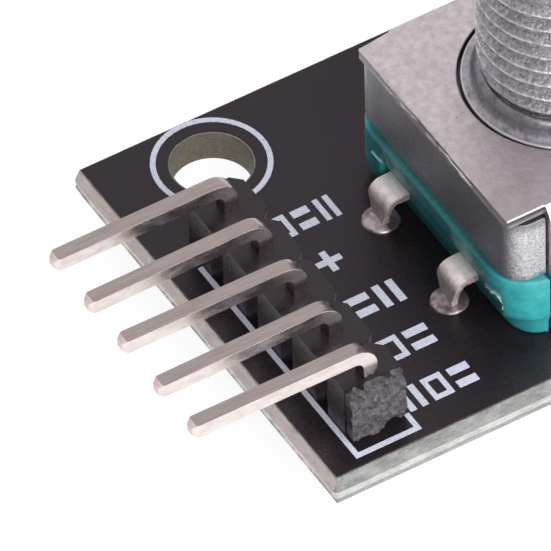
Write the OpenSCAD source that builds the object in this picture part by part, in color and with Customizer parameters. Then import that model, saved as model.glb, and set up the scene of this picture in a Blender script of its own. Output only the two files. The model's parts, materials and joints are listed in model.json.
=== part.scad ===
// Rotary encoder module: an incremental encoder with a push switch, soldered to a small circuit
// board with a five-way right-angle pin header. Millimetres. The shaft turns about Z. Z = 0 is the
// face that clamps to a panel, and the origin is where the shaft axis crosses it. +X runs from the
// header end of the board to the plain end, +Y towards the side with the fixing holes.

/* [Board] */
// length of the board along X
board_length = 26; // [25:0.5:30]
// width of the board along Y
board_width = 19; // [18.5:0.5:22]
// thickness of the board laminate
board_thickness = 1.5; // [1:0.1:1.6]
// distance from the header end of the board to the shaft axis
axis_from_end = 15.3; // [15.3:0.1:16]
// distance from the front long edge of the board to the shaft axis
axis_from_front = 8; // [7.8:0.1:9]
// radius of the two fixing holes
fixing_hole_radius = 1.6; // [1.1:0.1:1.6]
// distance from the board end to a fixing hole's centre
fixing_hole_inset_x = 4.5; // [3.5:0.1:4.6]
// distance from the back long edge to the fixing holes' centres
fixing_hole_inset_y = 2.45; // [2.4:0.05:2.6]

/* [Pin header] */
// pitch of the pins along Y
pin_pitch = 2.54;
// side of a square pin
pin_side = 0.64; // [0.5:0.02:0.64]
// distance from the board's front edge to the first pin's centre
first_pin_from_front = 2.1; // [1.9:0.1:2.4]
// distance from the board end to the pin row
pin_row_from_end = 2.67; // [2.4:0.01:3]
// height of the level part of the pins above the board, to the pin's middle
pin_level = 3.75; // [3.5:0.05:4.5]
// reach of the pin tips beyond the board end
pin_reach = 5.1; // [4:0.1:8]
// height of the plastic strip
strip_height = 2.5; // [2:0.1:2.6]
// width of the plastic strip along X
strip_width = 2.5; // [2.3:0.1:2.54]

/* [Encoder body] */
// height of the panel face above the board
body_height = 6.6;
// length of the die-cast housing along X
housing_length = 12.1; // [12:0.1:12.4]
// width of the die-cast housing along Y
housing_width = 11.3; // [11.2:0.1:11.4]
// width of the terminal base along Y
base_width = 11.9;
// thickness of the steel bracket
bracket_thickness = 0.5;
// radius of the thread crests on the bushing
thread_radius = 3.5;
// pitch of the bushing thread
thread_pitch = 0.75;
// length of the bushing beyond the panel face
bushing_length = 7; // [6.25:0.75:10]
// radius of the shaft
shaft_radius = 3; // [2.9:0.05:3]
// length of the shaft beyond the panel face
shaft_length = 20; // [18:0.5:30]
// length of the flat on the shaft
flat_length = 10; // [5:0.5:10]
// thickness left across the flat
flat_across = 4.5; // [4:0.1:5]
// travel of the push switch
push_travel = 0.5; // [0.3:0.1:0.5]
// number of detents and code windows in one turn
detents = 20; // [12:2:24]

/* [Hidden] */
$fn = 48;
eps = 0.01;
// heights: h is measured up from the board's top face
function z(h) = h - body_height;
skin = 0.04;          // solder mask and copper
ink = 0.03;           // printed marks on the mask
z_board = z(0);
z_under = z_board - board_thickness;
x_end = -axis_from_end;
y_front = -axis_from_front;
x_far = x_end + board_length;
y_back = y_front + board_width;
x_holes = [x_end + fixing_hole_inset_x, x_far - fixing_hole_inset_x];
y_holes = y_back - fixing_hole_inset_y;
x_pins = x_end + pin_row_from_end;
y_pin_first = y_front + first_pin_from_front;
pins = 5;
function y_pin(i) = y_pin_first + i * pin_pitch;
tail = 1.8;           // how far leads stand out below the board
pin_bend = 1.0;       // outer radius of the header pins' bend
hole_r = 0.5;         // plated holes
mask_in = 0.05;       // the coating stops this far short of the edge
ridge = 0.2;
undercut = 0.1;
land_r = 0.76;
land_bore = 0.52;
mask_gap = 0.07;      // bare ring of laminate round a fixing hole
// lead positions of the encoder
x_switch = -6.9;
x_signal = 7.5;
y_switch = [-2.5, 2.5];
y_signal = [-2.5, 0, 2.5];
lead_t = 0.3;
lead_w = 0.84;        // where a lead enters the board
strap_w = 1.4;        // where a switch lead leaves the base
lead_h = 1.6;         // top of the level part of a lead
// bracket
plate_length = housing_length + 0.1;
plate_width = housing_width - 0.36;
lug_y = 6.6;
lug_w = 2.0;
leg_half = 4.4;
leg_out = base_width / 2 - 0.05;
leg_in = leg_out - bracket_thickness;
slot_clear = 0.1;
bend_room = 0.3;      // the housing stands back from the inside of each leg's bend
hole_in_bracket = 4.2;
boss_r = 4.05;
// housing
cavity_r = 4.75;
ceiling = 5.1;
rim = 3.0;            // joint between housing and base
journal_r = 2.3;      // the shaft narrows inside the bushing
bore_r = journal_r + 0.04;
thread_depth = 0.44;
thread_start = 1.2;   // height of the first crest
thread_turns = floor((bushing_length - 1) / thread_pitch);
// base
base_floor = 0.15;
base_length = 12.56;
base_waist = 12.0;
base_foot = [11.44, 11.75];
foot_top = 1.2;
post_low = 0.75;      // the full corner posts start here
base_corner = 1.85;
post_front = 1.15;    // how far the full corner posts reach along Y
post_back = 2.4;
flange_low = 2.15;
cover_length = 8;
cover_width = 7;
well_r = 2.6;
cover_top = 0.55;
contact_top = 0.71;
// moving pieces
dome_r = 2.3;
dome_t = 0.07;
dome_low = 0.74;
dome_top = 1.32;
plunger_low = 1.35;
plunger_top = 2.2;
shaft_low = 2.25;
stem_r = 2.0;
stem_flat = 1.5;
stem_top = 5.25;
shoulder_gap = 0.1;   // left over above the bushing when the shaft is pushed
code_low = 3.6;
rotor_low = 3.75;
rotor_top = 4.72;
rotor_r = 4.6;
hub_low = 3.3;
ring_top = 3.27;

// ---- helpers -------------------------------------------------------------------------------
// points on an arc
function arc(cx, cy, r, a0, a1, n = 8) =
    [for (i = [0:n]) [cx + r * cos(a0 + (a1 - a0) * i / n), cy + r * sin(a0 + (a1 - a0) * i / n)]];
// a profile drawn in X and Z, extruded to width w about y
module xz(y, w) { translate([0, y + w / 2, 0]) rotate([90, 0, 0]) linear_extrude(w) children(); }
// a profile drawn in Y and Z, extruded to length l about x
module yz(x, l) {
    translate([x - l / 2, 0, 0]) rotate([90, 0, 90]) linear_extrude(l) children();
}
// a box given by its low and high corners
module span(lo, hi) { translate(lo) cube(hi - lo); }
// a rectangle centred on the axis with rounded corners
module round_rect(l, w, r) {
    square([l - 2 * r, w], center = true);
    square([l, w - 2 * r], center = true);
    for (sx = [-1, 1], sy = [-1, 1])
        translate([sx * (l / 2 - r), sy * (w / 2 - r)]) circle(r);
}
// positions of every plated round hole
module at_holes() {
    for (i = [0:pins - 1]) translate([x_pins, y_pin(i), 0]) children();
    for (y = y_switch) translate([x_switch, y, 0]) children();
    for (y = y_signal) translate([x_signal, y, 0]) children();
}
// both lug slots, as flat shapes grown by g
module lug_slots(g) {
    for (s = [-1, 1])
        translate([0, s * lug_y]) square([lug_w + 0.3 + 2 * g, 0.9 + 2 * g], center = true);
}

// ---- board ---------------------------------------------------------------------------------
module board_outline(inset = 0) {
    translate([x_end + inset, y_front + inset])
        square([board_length - 2 * inset, board_width - 2 * inset]);
}
// The board was snapped out of a panel along V grooves, which leave a ridge along each edge. This
// is its section from one edge to the other.
function scored(low, high) = [[low, z_board - skin], [low - ridge, z(-0.65)],
    [low - ridge, z(-0.9)], [low + undercut, z_under + skin], [high - undercut, z_under + skin],
    [high + ridge, z(-0.9)], [high + ridge, z(-0.65)], [high, z_board - skin]];
module circuit_board() color([0.72, 0.70, 0.62]) {
    far = 100;
    difference() {
        intersection() {
            xz(0, far) polygon(scored(x_end, x_end + board_length));
            yz(0, far) polygon(scored(y_front, y_front + board_width));
        }
        translate([0, 0, z_under - 1]) linear_extrude(board_thickness + 2) {
            for (x = x_holes) translate([x, y_holes]) circle(fixing_hole_radius, $fn = 72);
            at_holes() circle(hole_r, $fn = 32);
            lug_slots(0);
        }
    }
}
// the black coating on both faces, open at every land and fixing hole
module solder_mask() color([0.05, 0.05, 0.06]) {
    for (low = [z_under, z_board - skin]) translate([0, 0, low]) linear_extrude(skin) difference() {
        board_outline(low < z_board - 1 ? undercut + mask_in : mask_in);
        for (x = x_holes) translate([x, y_holes]) circle(fixing_hole_radius + mask_gap, $fn = 72);
        at_holes() circle(land_r + 0.02, $fn = 32);
        lug_slots(0.42);
    }
}
module copper_lands() color([0.80, 0.78, 0.74]) {
    for (low = [z_under, z_board - skin]) translate([0, 0, low]) linear_extrude(skin) {
        difference() {
            at_holes() circle(land_r, $fn = 32);
            at_holes() circle(land_bore, $fn = 32);
        }
        difference() {
            lug_slots(0.4);
            lug_slots(0.02);
        }
    }
}

// ---- printed marks -------------------------------------------------------------------------
mark_line = 0.22;
mark_h = 1.2;
// three plain signs that stand where letters would: upright bars, a box, level bars
module glyph(kind, w) {
    if (kind == 1) difference() {
        square([w, mark_h], center = true);
        square([w - 2 * mark_line, mark_h - 2 * mark_line], center = true);
    }
    else for (s = [-1, 1])
        if (kind == 0) translate([s * w * 0.3, 0]) square([w * 0.32, mark_h], center = true);
        else translate([0, s * mark_h * 0.3]) square([w, mark_h * 0.3], center = true);
}
// a row of n signs beside pin i, from x_low to x_high measured from the board end
module mark_row(i, n, x_low, x_high) {
    step = (x_high - x_low) / n;
    for (k = [0:n - 1]) translate([x_end + x_low + (k + 0.5) * step, y_pin(i) - 0.1])
        glyph((k + i) % 3, step - 0.26);
}
module printed_marks() color([0.85, 0.86, 0.92]) translate([0, 0, z_board]) {
    ring_r = 2.38;
    ring_gap = [-150, -77];
    box_lo = [x_end + 1.17, y_front + 0.46];
    box_hi = [x_end + 4.07, y_pin(4) + pin_pitch / 2 + 0.4];
    linear_extrude(ink) {
        // ring round the fixing hole at the header end, open towards the header
        intersection() {
            translate([x_holes[0], y_holes]) difference() {
                circle(ring_r, $fn = 72);
                circle(ring_r - mark_line, $fn = 72);
                polygon(concat([[0, 0]], arc(0, 0, 2 * ring_r, ring_gap[0], ring_gap[1])));
            }
            board_outline(0.1);
        }
        // outline round the header: two sides, with a short return at the strip's front corner
        difference() {
            translate(box_lo) square(box_hi - box_lo);
            translate(box_lo + [mark_line, mark_line])
                square(box_hi - box_lo - 2 * [mark_line, mark_line]);
            translate([box_hi[0] - 1, box_lo[1] + 0.95])
                square([2, box_hi[1] - box_lo[1]]);
            translate([box_lo[0] - 1, y_pin(4) - 0.2])
                square([4.2, 4]);
        }
        mark_row(0, 3, 4.0, 7.4);
        mark_row(1, 2, 4.6, 7.1);
        mark_row(2, 2, 4.8, 7.3);
        mark_row(4, 3, 4.5, 7.5);
        // plus sign at the supply pin
        translate([x_end + 5.6, y_pin(3)]) {
            square([1.1, mark_line + 0.06], center = true);
            square([mark_line + 0.06, 1.1], center = true);
        }
    }
}

// ---- solder --------------------------------------------------------------------------------
// a fillet that rises from the land to a neck round the lead
module fillet(neck, height) {
    rotate_extrude($fn = 32) polygon([[0, 0], [land_r - 0.04, 0], [land_r - 0.08, height * 0.1],
        [(land_r + neck) / 2 - 0.08, height * 0.3], [neck + 0.04, height * 0.7], [neck, height],
        [0, height]]);
}
module joint_at(x, y, lead_x, lead_y, top_height) {
    difference() {
        translate([x, y, 0]) {
            translate([0, 0, z_under]) cylinder(r = hole_r - 0.02, h = board_thickness, $fn = 32);
            translate([0, 0, z_board]) fillet(0.5, top_height);
            translate([0, 0, z_under]) mirror([0, 0, 1]) fillet(0.5, 0.9);
        }
        span([x - lead_x / 2, y - lead_y / 2, z_under - 2],
            [x + lead_x / 2, y + lead_y / 2, z_board + 1]);
    }
}
module lug_joint(s) {
    difference() {
        union() {
            translate([-(lug_w + 0.2) / 2, s * lug_y - 0.4, z_under])
                cube([lug_w + 0.2, 0.8, board_thickness]);
            intersection() {
                xz(s * lug_y, 4) polygon([[-1.45, z_under], [1.45, z_under],
                    [1.15, z_under - 0.35], [1.06, z_under - 0.8], [-1.06, z_under - 0.8],
                    [-1.15, z_under - 0.35]]);
                yz(0, 6) translate([s * lug_y, 0]) polygon([[-0.8, z_under], [0.8, z_under],
                    [0.5, z_under - 0.35], [0.36, z_under - 0.8], [-0.36, z_under - 0.8],
                    [-0.5, z_under - 0.35]]);
            }
        }
        span([-lug_w / 2, s * lug_y - bracket_thickness / 2, z_under - 2],
            [lug_w / 2, s * lug_y + bracket_thickness / 2, z_board + 1]);
    }
}
module solder_joints() color([0.70, 0.69, 0.67]) {
    for (i = [0:pins - 1]) difference() {
        joint_at(x_pins, y_pin(i), pin_side, pin_side, 0.2);
        span([x_pins - 1, y_pin(i) - 1, z_board], [x_pins + 1, y_pin(i) + 1, z_board + 1]);
    }
    for (y = y_switch) joint_at(x_switch, y, lead_t, lead_w, 0.28);
    for (y = y_signal) joint_at(x_signal, y, lead_t, lead_w, 0.28);
    for (s = [-1, 1]) lug_joint(s);
}

// ---- pin header ----------------------------------------------------------------------------
module header_strip() color([0.06, 0.06, 0.07]) {
    snapped = 0.84;   // the strip was broken off this far in front of the first pin
    notch = 0.42;
    half = pin_pitch / 2;
    flat = half - notch;
    difference() {
        translate([x_pins, 0, z_board]) linear_extrude(strip_height)
            for (i = [0:pins - 1]) translate([0, y_pin(i)]) polygon([
                [-strip_width / 2 + notch, -half], [strip_width / 2 - notch, -half],
                [strip_width / 2, -flat], [strip_width / 2, flat],
                [strip_width / 2 - notch, half], [-strip_width / 2 + notch, half],
                [-strip_width / 2, flat], [-strip_width / 2, -flat]]);
        // square holes that grip the pins
        for (i = [0:pins - 1])
            span([x_pins - pin_side / 2, y_pin(i) - pin_side / 2, z_board - 1],
                [x_pins + pin_side / 2, y_pin(i) + pin_side / 2, z_board + strip_height + 1]);
        // shallow channel underneath, so the strip stands on its two long edges
        span([x_pins - 0.45, y_pin(0) - snapped + 0.3, z_board - eps],
            [x_pins + 0.45, y_pin(4) + 0.9, z_board + 0.25]);
        span([x_pins - strip_width, y_pin(0) - pin_pitch, z_board - eps],
            [x_pins + strip_width, y_pin(0) - snapped, z_board + strip_height + eps]);
    }
}
// one square wire: level, bent down, through the strip and the board
module header_pin(i) {
    s = pin_side / 2;
    tip = x_end - pin_reach;
    mid = z(pin_level);
    taper = 0.15;
    point = 0.22;
    low = z_under - tail;
    color([0.86, 0.83, 0.80]) intersection() {
        xz(y_pin(i), pin_side) polygon(concat(
            [[tip, mid - s + taper], [tip, mid + s - taper], [tip + point, mid + s]],
            arc(x_pins + s - pin_bend, mid + s - pin_bend, pin_bend, 90, 0),
            [[x_pins + s, low + point], [x_pins + s - taper, low], [x_pins - s + taper, low],
                [x_pins - s, low + point]],
            arc(x_pins + s - pin_bend, mid + s - pin_bend, pin_bend - pin_side, 0, 90),
            [[tip + point, mid - s]]));
        translate([0, y_pin(i), low - 1]) linear_extrude(12) polygon([[tip, -s + taper],
            [tip + point, -s], [x_pins + 2, -s], [x_pins + 2, s], [tip + point, s],
            [tip, s - taper]]);
    }
}
module header_pin_1() header_pin(0);
module header_pin_2() header_pin(1);
module header_pin_3() header_pin(2);
module header_pin_4() header_pin(3);
module header_pin_5() header_pin(4);

// ---- chip resistors on the underside -------------------------------------------------------
chip_l = 1.6;
chip_w = 0.8;
chip_h = 0.45;
cap_l = 0.3;
x_chip = x_end + 6.4;
y_chips = [y_pin(1), y_pin(2)];
module chip(y) color([0.10, 0.10, 0.11])
    span([x_chip - chip_l / 2 + cap_l, y - chip_w / 2, z_under - chip_h],
        [x_chip + chip_l / 2 - cap_l, y + chip_w / 2, z_under]);
module resistor_1() chip(y_chips[0]);
module resistor_2() chip(y_chips[1]);
module resistor_caps() color([0.78, 0.77, 0.75]) {
    for (y = y_chips, s = [-1, 1])
        translate([x_chip + s * (chip_l - cap_l) / 2, y, z_under - chip_h / 2])
            cube([cap_l, chip_w, chip_h], center = true);
}

// ---- leads ---------------------------------------------------------------------------------
// the outside part of a lead: level out of the base, bent down, through the board
module lead_profile(x_from, x_to) {
    bend = 0.6;
    low = z_under - tail;
    out = x_to + lead_t / 2;
    polygon(concat([[x_from, z(lead_h)]],
        arc(out - bend, z(lead_h) - bend, bend, 90, 0),
        [[out, low], [out - lead_t, low]],
        arc(out - bend, z(lead_h) - bend, bend - lead_t, 0, 90),
        [[x_from, z(lead_h) - lead_t]]));
}
// w is the width at the base; the leg narrows to lead_w before it reaches the board
module lead(x_from, x_to, y, w) {
    low = z_under - tail;
    intersection() {
        xz(y, w) lead_profile(x_from, x_to);
        yz(x_to, 2 * (x_to - x_from + lead_t)) translate([y, 0]) polygon([[-w / 2, 0], [w / 2, 0],
            [w / 2, z(1.15)], [lead_w / 2, z(0.35)], [lead_w / 2, low], [-lead_w / 2, low],
            [-lead_w / 2, z(0.35)], [-w / 2, z(1.15)]]);
    }
}
// signal lead: outside lead, a riser inside the base and a springy wiper finger above it
module signal_terminal(y, riser_x, reach) color([0.80, 0.76, 0.70]) {
    finger_w = 0.7;
    lead(base_waist / 2, x_signal, y, lead_w);
    span([riser_x, y - lead_w / 2 + 0.03, z(lead_h - lead_t)],
        [base_waist / 2, y + lead_w / 2, z(lead_h)]);
    span([riser_x, y - finger_w / 2, z(lead_h - lead_t)],
        [riser_x + lead_t, y + finger_w / 2, z(rim)]);
    xz(y, finger_w) polygon([[riser_x + lead_t, z(rim)], [riser_x + lead_t, z(rim + 0.12)],
        [riser_x - reach * 0.4, z(rim + 0.2)], [riser_x - reach * 0.85, z(code_low - 0.05)],
        [riser_x - reach, z(code_low - 0.12)], [riser_x - reach, z(code_low - 0.24)],
        [riser_x - reach * 0.85, z(code_low - 0.17)], [riser_x - reach * 0.4, z(rim + 0.08)],
        [riser_x, z(rim)]]);
}
module terminal_a() signal_terminal(y_signal[0], 3.75, 1.5);
module terminal_common() signal_terminal(y_signal[1], 4.3, 1.3);
module terminal_b() signal_terminal(y_signal[2], 3.75, 1.5);
// switch lead: outside lead, level run in the base, a drop, and a tongue under the dome
module switch_lead(y, tongue_y, tongue_x) {
    drop_x = 3.4;
    color([0.80, 0.76, 0.70]) mirror([1, 0, 0]) {
        lead(base_waist / 2, -x_switch, y, strap_w);
        span([drop_x, y - lead_w / 2, z(lead_h - lead_t)],
            [base_waist / 2, y + lead_w / 2, z(lead_h)]);
        span([drop_x, y - lead_w / 2, z(cover_top)],
            [drop_x + lead_t, y + lead_w / 2, z(lead_h)]);
        span([drop_x - 0.8, min(y, tongue_y) - lead_w / 2, z(cover_top)],
            [drop_x + lead_t, max(y, tongue_y) + lead_w / 2, z(contact_top)]);
        span([tongue_x, tongue_y - 0.35, z(cover_top)],
            [drop_x, tongue_y + 0.35, z(contact_top)]);
    }
}
module switch_terminal_1() switch_lead(y_switch[0], -1.5, 1.4);
module switch_terminal_2() switch_lead(y_switch[1], 0.35, -0.5);

// ---- terminal base -------------------------------------------------------------------------
// pockets in the base and in the housing for one leg of the bracket
module leg_slot(s, low, high) {
    inner = leg_in - 0.02;
    span([-leg_half - slot_clear, s > 0 ? inner : -8, low],
        [leg_half + slot_clear, s > 0 ? 8 : -inner, high]);
}
// pocket under the base for the bracket's two folded tabs
tab_x = [1.6, 3.6];
tab_reach = 1.5;
module tab_shapes(s, grow) {
    for (m = [-1, 1]) {
        x0 = min(m * tab_x[0], m * tab_x[1]);
        span([x0 - grow, s > 0 ? leg_in - tab_reach - grow : -leg_out, z(0.05) - grow],
            [x0 + tab_x[1] - tab_x[0] + grow, s > 0 ? leg_out : -leg_in + tab_reach + grow,
                z(0.05 + bracket_thickness) + grow]);
    }
}
module base_plan() round_rect(base_length, base_width, base_corner);
module terminal_base() color([0.05, 0.62, 0.60]) {
    half = base_width / 2;
    difference() {
        union() {
            // foot, a little inside everything above it
            translate([0, 0, z(base_floor)]) linear_extrude(flange_low - base_floor)
                round_rect(base_foot[0], base_foot[1], 1.2);
            // waist
            translate([0, 0, z(foot_top)]) linear_extrude(flange_low - foot_top) intersection() {
                base_plan();
                square([base_waist, base_width], center = true);
            }
            // corner posts, as wide as the flange
            translate([0, 0, z(post_low)]) linear_extrude(flange_low - post_low) intersection() {
                base_plan();
                union() {
                    translate([-base_length / 2, -half]) square([base_length, post_front]);
                    translate([-base_length / 2, half - post_back])
                        square([base_length, post_back]);
                }
            }
            // flange that the housing stands on
            translate([0, 0, z(flange_low)]) linear_extrude(rim - flange_low) base_plan();
            // feet on the board
            for (sx = [-1, 1], sy = [-1, 1]) translate([sx * 4.9, sy * 4.6, z_board])
                cylinder(r = 0.6, h = base_floor + 0.1);
        }
        // well for the shaft end and the switch
        translate([0, 0, z(0)]) cylinder(r = well_r, h = 5);
        // recess for the cover
        translate([0, 0, z(cover_top) - 0.5])
            cube([cover_length + 0.04, cover_width + 0.04, 1], center = true);
        for (s = [-1, 1]) {
            leg_slot(s, z(-1), z(rim + 1));
            tab_shapes(s, 0.03);
        }
        // the moulding closes on the metal it holds
        terminal_a();
        terminal_b();
        terminal_common();
        switch_terminal_1();
        switch_terminal_2();
    }
}
module switch_cover() color([0.12, 0.12, 0.13])
    translate([0, 0, z((base_floor + cover_top) / 2)])
        cube([cover_length, cover_width, cover_top - base_floor], center = true);

// ---- housing and bushing -------------------------------------------------------------------
// half profile of the bushing, from the boss up, with the thread as rings of the same pitch
function thread_points() = [for (i = [0:thread_turns - 1]) each
    let (c = thread_start + i * thread_pitch)
    [[thread_radius - thread_depth, c - thread_pitch / 2 + 0.05], [thread_radius, c - 0.05],
        [thread_radius, c + 0.05], [thread_radius - thread_depth, c + thread_pitch / 2 - 0.05]]];
module bushing_housing() color([0.52, 0.51, 0.53]) {
    top = bushing_length;
    deck = z(body_height - bracket_thickness);
    mouth = 0.3;
    difference() {
        union() {
            translate([0, 0, z(rim)]) linear_extrude(deck - z(rim)) difference() {
                round_rect(housing_length, housing_width, 1);
                for (s = [-1, 1]) translate([0, s * (leg_in + 4 - bend_room)])
                    square([2 * (leg_half + slot_clear), 8], center = true);
            }
            rotate_extrude($fn = 96) polygon(concat(
                [[0, deck - 0.5], [boss_r, deck - 0.5], [boss_r, -0.03], [3.98, 0.04],
                    [3.72, 0.17], [3.54, 0.48], [3.45, 0.7], [3.3, 0.7], [3.27, 0.6],
                    [thread_radius - thread_depth, 0.6]],
                thread_points(),
                [[thread_radius - thread_depth, top - 0.2], [thread_radius - 0.6, top],
                    [0, top]]));
        }
        translate([0, 0, z(0)]) cylinder(r = bore_r, h = 30, $fn = 96);
        // round cavity for the rotor
        translate([0, 0, z(0)]) cylinder(r = cavity_r, h = ceiling, $fn = 96);
        // small countersink at the bushing's mouth
        translate([0, 0, top - mouth])
            cylinder(r1 = bore_r - eps, r2 = bore_r + mouth, h = mouth + eps, $fn = 96);
        // detent notches in the ceiling
        for (i = [0:detents - 1]) rotate([0, 0, i * 360 / detents])
            translate([3.25, -0.25, z(ceiling) - eps]) cube([1.1, 0.5, 0.16]);
    }
}

// ---- bracket -------------------------------------------------------------------------------
module bracket_leg() {
    t = bracket_thickness;
    bend = 0.8;
    // leg, from the top bend down to the underside of the base
    yz(0, 2 * leg_half) polygon(concat([[4.6, -t], [4.6, 0]],
        arc(leg_out - bend, -bend, bend, 90, 0),
        [[leg_out, z(0.05)], [leg_in, z(0.05)]],
        arc(leg_out - bend, -bend, bend - t, 0, 90)));
    // lug: jogs out, then runs down through the board
    yz(0, lug_w) polygon([[leg_in, z(2.2)], [leg_out, z(2.2)], [lug_y + t / 2, z(1.4)],
        [lug_y + t / 2, z_under - tail + 0.6], [lug_y, z_under - tail],
        [lug_y - t / 2, z_under - tail + 0.6],
        [lug_y - t / 2, z(1.1)], [leg_in, z(1.7)]]);
}
module mounting_bracket() color([0.78, 0.75, 0.76]) {
    t = bracket_thickness;
    notch = 0.1;
    difference() {
        union() {
            translate([0, 0, -t]) linear_extrude(t) difference() {
                square([plate_length, plate_width], center = true);
                circle(hole_in_bracket, $fn = 96);
                // relief notches where the legs bend
                for (sx = [-1, 1], sy = [-1, 1])
                    translate([sx * (leg_half + notch / 2), sy * plate_width / 2])
                        square([notch, 0.6], center = true);
            }
            bracket_leg();
            mirror([0, 1, 0]) bracket_leg();
        }
        // windows between the lug and the tabs
        for (s = [-1, 1], m = [-1, 1])
            translate([m * (lug_w / 2 + 0.15), s * (leg_out + leg_in) / 2, z(0)])
                cube([0.3, 2, 3.4], center = true);
        // the tabs fold under the base beyond the lug's width
        for (s = [-1, 1]) translate([0, s * (leg_out + leg_in) / 2, z(0)])
            cube([lug_w, bracket_thickness + 0.04, 2.2], center = true);
        translate([0, 0, -3]) cylinder(r = hole_in_bracket, h = 6, $fn = 96);
    }
    for (s = [-1, 1]) tab_shapes(s, 0);
}

// ---- rotor ---------------------------------------------------------------------------------
// the shaft's stem is round with two flats, and slides in the same shape
module stem_shape(r, f) {
    intersection() {
        circle(r, $fn = 48);
        square([2 * r + 1, 2 * f], center = true);
    }
}
module rotor() color([0.08, 0.08, 0.09]) {
    difference() {
        union() {
            translate([0, 0, z(rotor_low)])
                cylinder(r = rotor_r, h = rotor_top - rotor_low, $fn = 72);
            translate([0, 0, z(hub_low)]) cylinder(r = 2.55, h = 1);
        }
        translate([0, 0, z(hub_low) - 1]) linear_extrude(4) stem_shape(stem_r + 0.05, stem_flat + 0.05);
        // room for the shaft's shoulder when it is pushed
        translate([0, 0, z(4.3)]) cylinder(r = journal_r + 0.3, h = 1);
        // seat for the detent spring
        translate([0, 0, z(rotor_top) - 0.15]) difference() {
            cylinder(r = 4.4, h = 1);
            cylinder(r = 3.3, h = 3, center = true);
        }
    }
}
module code_disc() color([0.83, 0.74, 0.52])
    translate([0, 0, z(code_low)]) linear_extrude(rotor_low - code_low) difference() {
        circle(4.5, $fn = 72);
        circle(2.6, $fn = 48);
        // windows that make and break the two signals
        for (i = [0:detents - 1]) rotate([0, 0, (i + 0.5) * 360 / detents])
            translate([3.7, 0]) square([0.9, 0.5], center = true);
    }
module detent_spring() color([0.85, 0.82, 0.75]) {
    low = z(rotor_top) - 0.15;
    difference() {
        union() {
            translate([0, 0, low]) cylinder(r = 4.35, h = 0.15, $fn = 72);
            // two raised noses that ride over the notches
            for (a = [0, 180]) rotate([0, 0, a]) translate([3.8, 0, low])
                cylinder(r1 = 0.42, r2 = 0.12, h = ceiling - rotor_top + 0.11, $fn = 32);
        }
        translate([0, 0, low - 1]) cylinder(r = 3.35, h = 3, $fn = 72);
    }
}

// ---- shaft and push switch -----------------------------------------------------------------
module shaft() color([0.78, 0.79, 0.80]) {
    knob_low = bushing_length + push_travel + shoulder_gap;
    flat_low = shaft_length - flat_length;
    chamfer = 0.5;
    flat_part_r = shaft_radius - 0.02;
    difference() {
        union() {
            // round part that a knob slides over
            translate([0, 0, knob_low])
                cylinder(r = shaft_radius, h = flat_low - knob_low, $fn = 96);
            // part with the flat
            translate([0, 0, flat_low])
                cylinder(r = flat_part_r, h = flat_length - chamfer, $fn = 96);
            translate([0, 0, shaft_length - chamfer])
                cylinder(r1 = flat_part_r, r2 = flat_part_r - chamfer, h = chamfer, $fn = 96);
            // journal that turns in the bushing
            translate([0, 0, z(stem_top)])
                cylinder(r = journal_r, h = knob_low - z(stem_top), $fn = 96);
            // stem that turns the rotor and reaches the switch
            translate([0, 0, z(shaft_low)])
                linear_extrude(z(stem_top) - z(shaft_low)) stem_shape(stem_r, stem_flat);
        }
        span([-4, flat_across - shaft_radius, flat_low], [4, 4, shaft_length + 1]);
        // groove for the retaining ring
        translate([0, 0, z(ring_top - 0.3)]) difference() {
            cylinder(r = 4, h = 0.3);
            translate([0, 0, -1]) cylinder(r = 1.3, h = 3);
        }
    }
}
module retaining_ring() color([0.45, 0.45, 0.47]) {
    translate([0, 0, z(ring_top - 0.28)]) linear_extrude(0.26) difference() {
        circle(2.45, $fn = 48);
        circle(1.32, $fn = 48);
        translate([0, -3]) square([2.1, 6], center = true);
    }
}
module switch_plunger() color([0.90, 0.89, 0.85]) {
    translate([0, 0, z(plunger_low)]) cylinder(r1 = 0.55, r2 = 0.8, h = 0.3);
    translate([0, 0, z(plunger_low + 0.3)])
        cylinder(r = well_r - 0.08, h = plunger_top - plunger_low - 0.3, $fn = 72);
}
module switch_dome() color([0.86, 0.84, 0.80]) {
    rise = dome_top - dome_low;
    translate([0, 0, z(dome_low)]) rotate_extrude($fn = 48) polygon(concat(
        [for (i = [0:8]) [dome_r * i / 8, rise * (1 - pow(i / 8, 2)) + dome_t * (i / 8)]],
        [for (i = [8:-1:0]) [dome_r * i / 8, (rise - dome_t) * (1 - pow(i / 8, 2))]]));
}

// ---- draw ----------------------------------------------------------------------------------
circuit_board();
solder_mask();
copper_lands();
printed_marks();
solder_joints();
header_strip();
header_pin_1();
header_pin_2();
header_pin_3();
header_pin_4();
header_pin_5();
resistor_1();
resistor_2();
resistor_caps();
terminal_base();
switch_cover();
terminal_a();
terminal_b();
terminal_common();
switch_terminal_1();
switch_terminal_2();
bushing_housing();
mounting_bracket();
rotor();
code_disc();
detent_spring();
shaft();
retaining_ring();
switch_plunger();
switch_dome();
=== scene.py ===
"""Looks for the rotary encoder module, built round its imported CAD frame."""
import json
import math

import bmesh
import bpy
from mathutils import Matrix, Vector, noise


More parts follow.
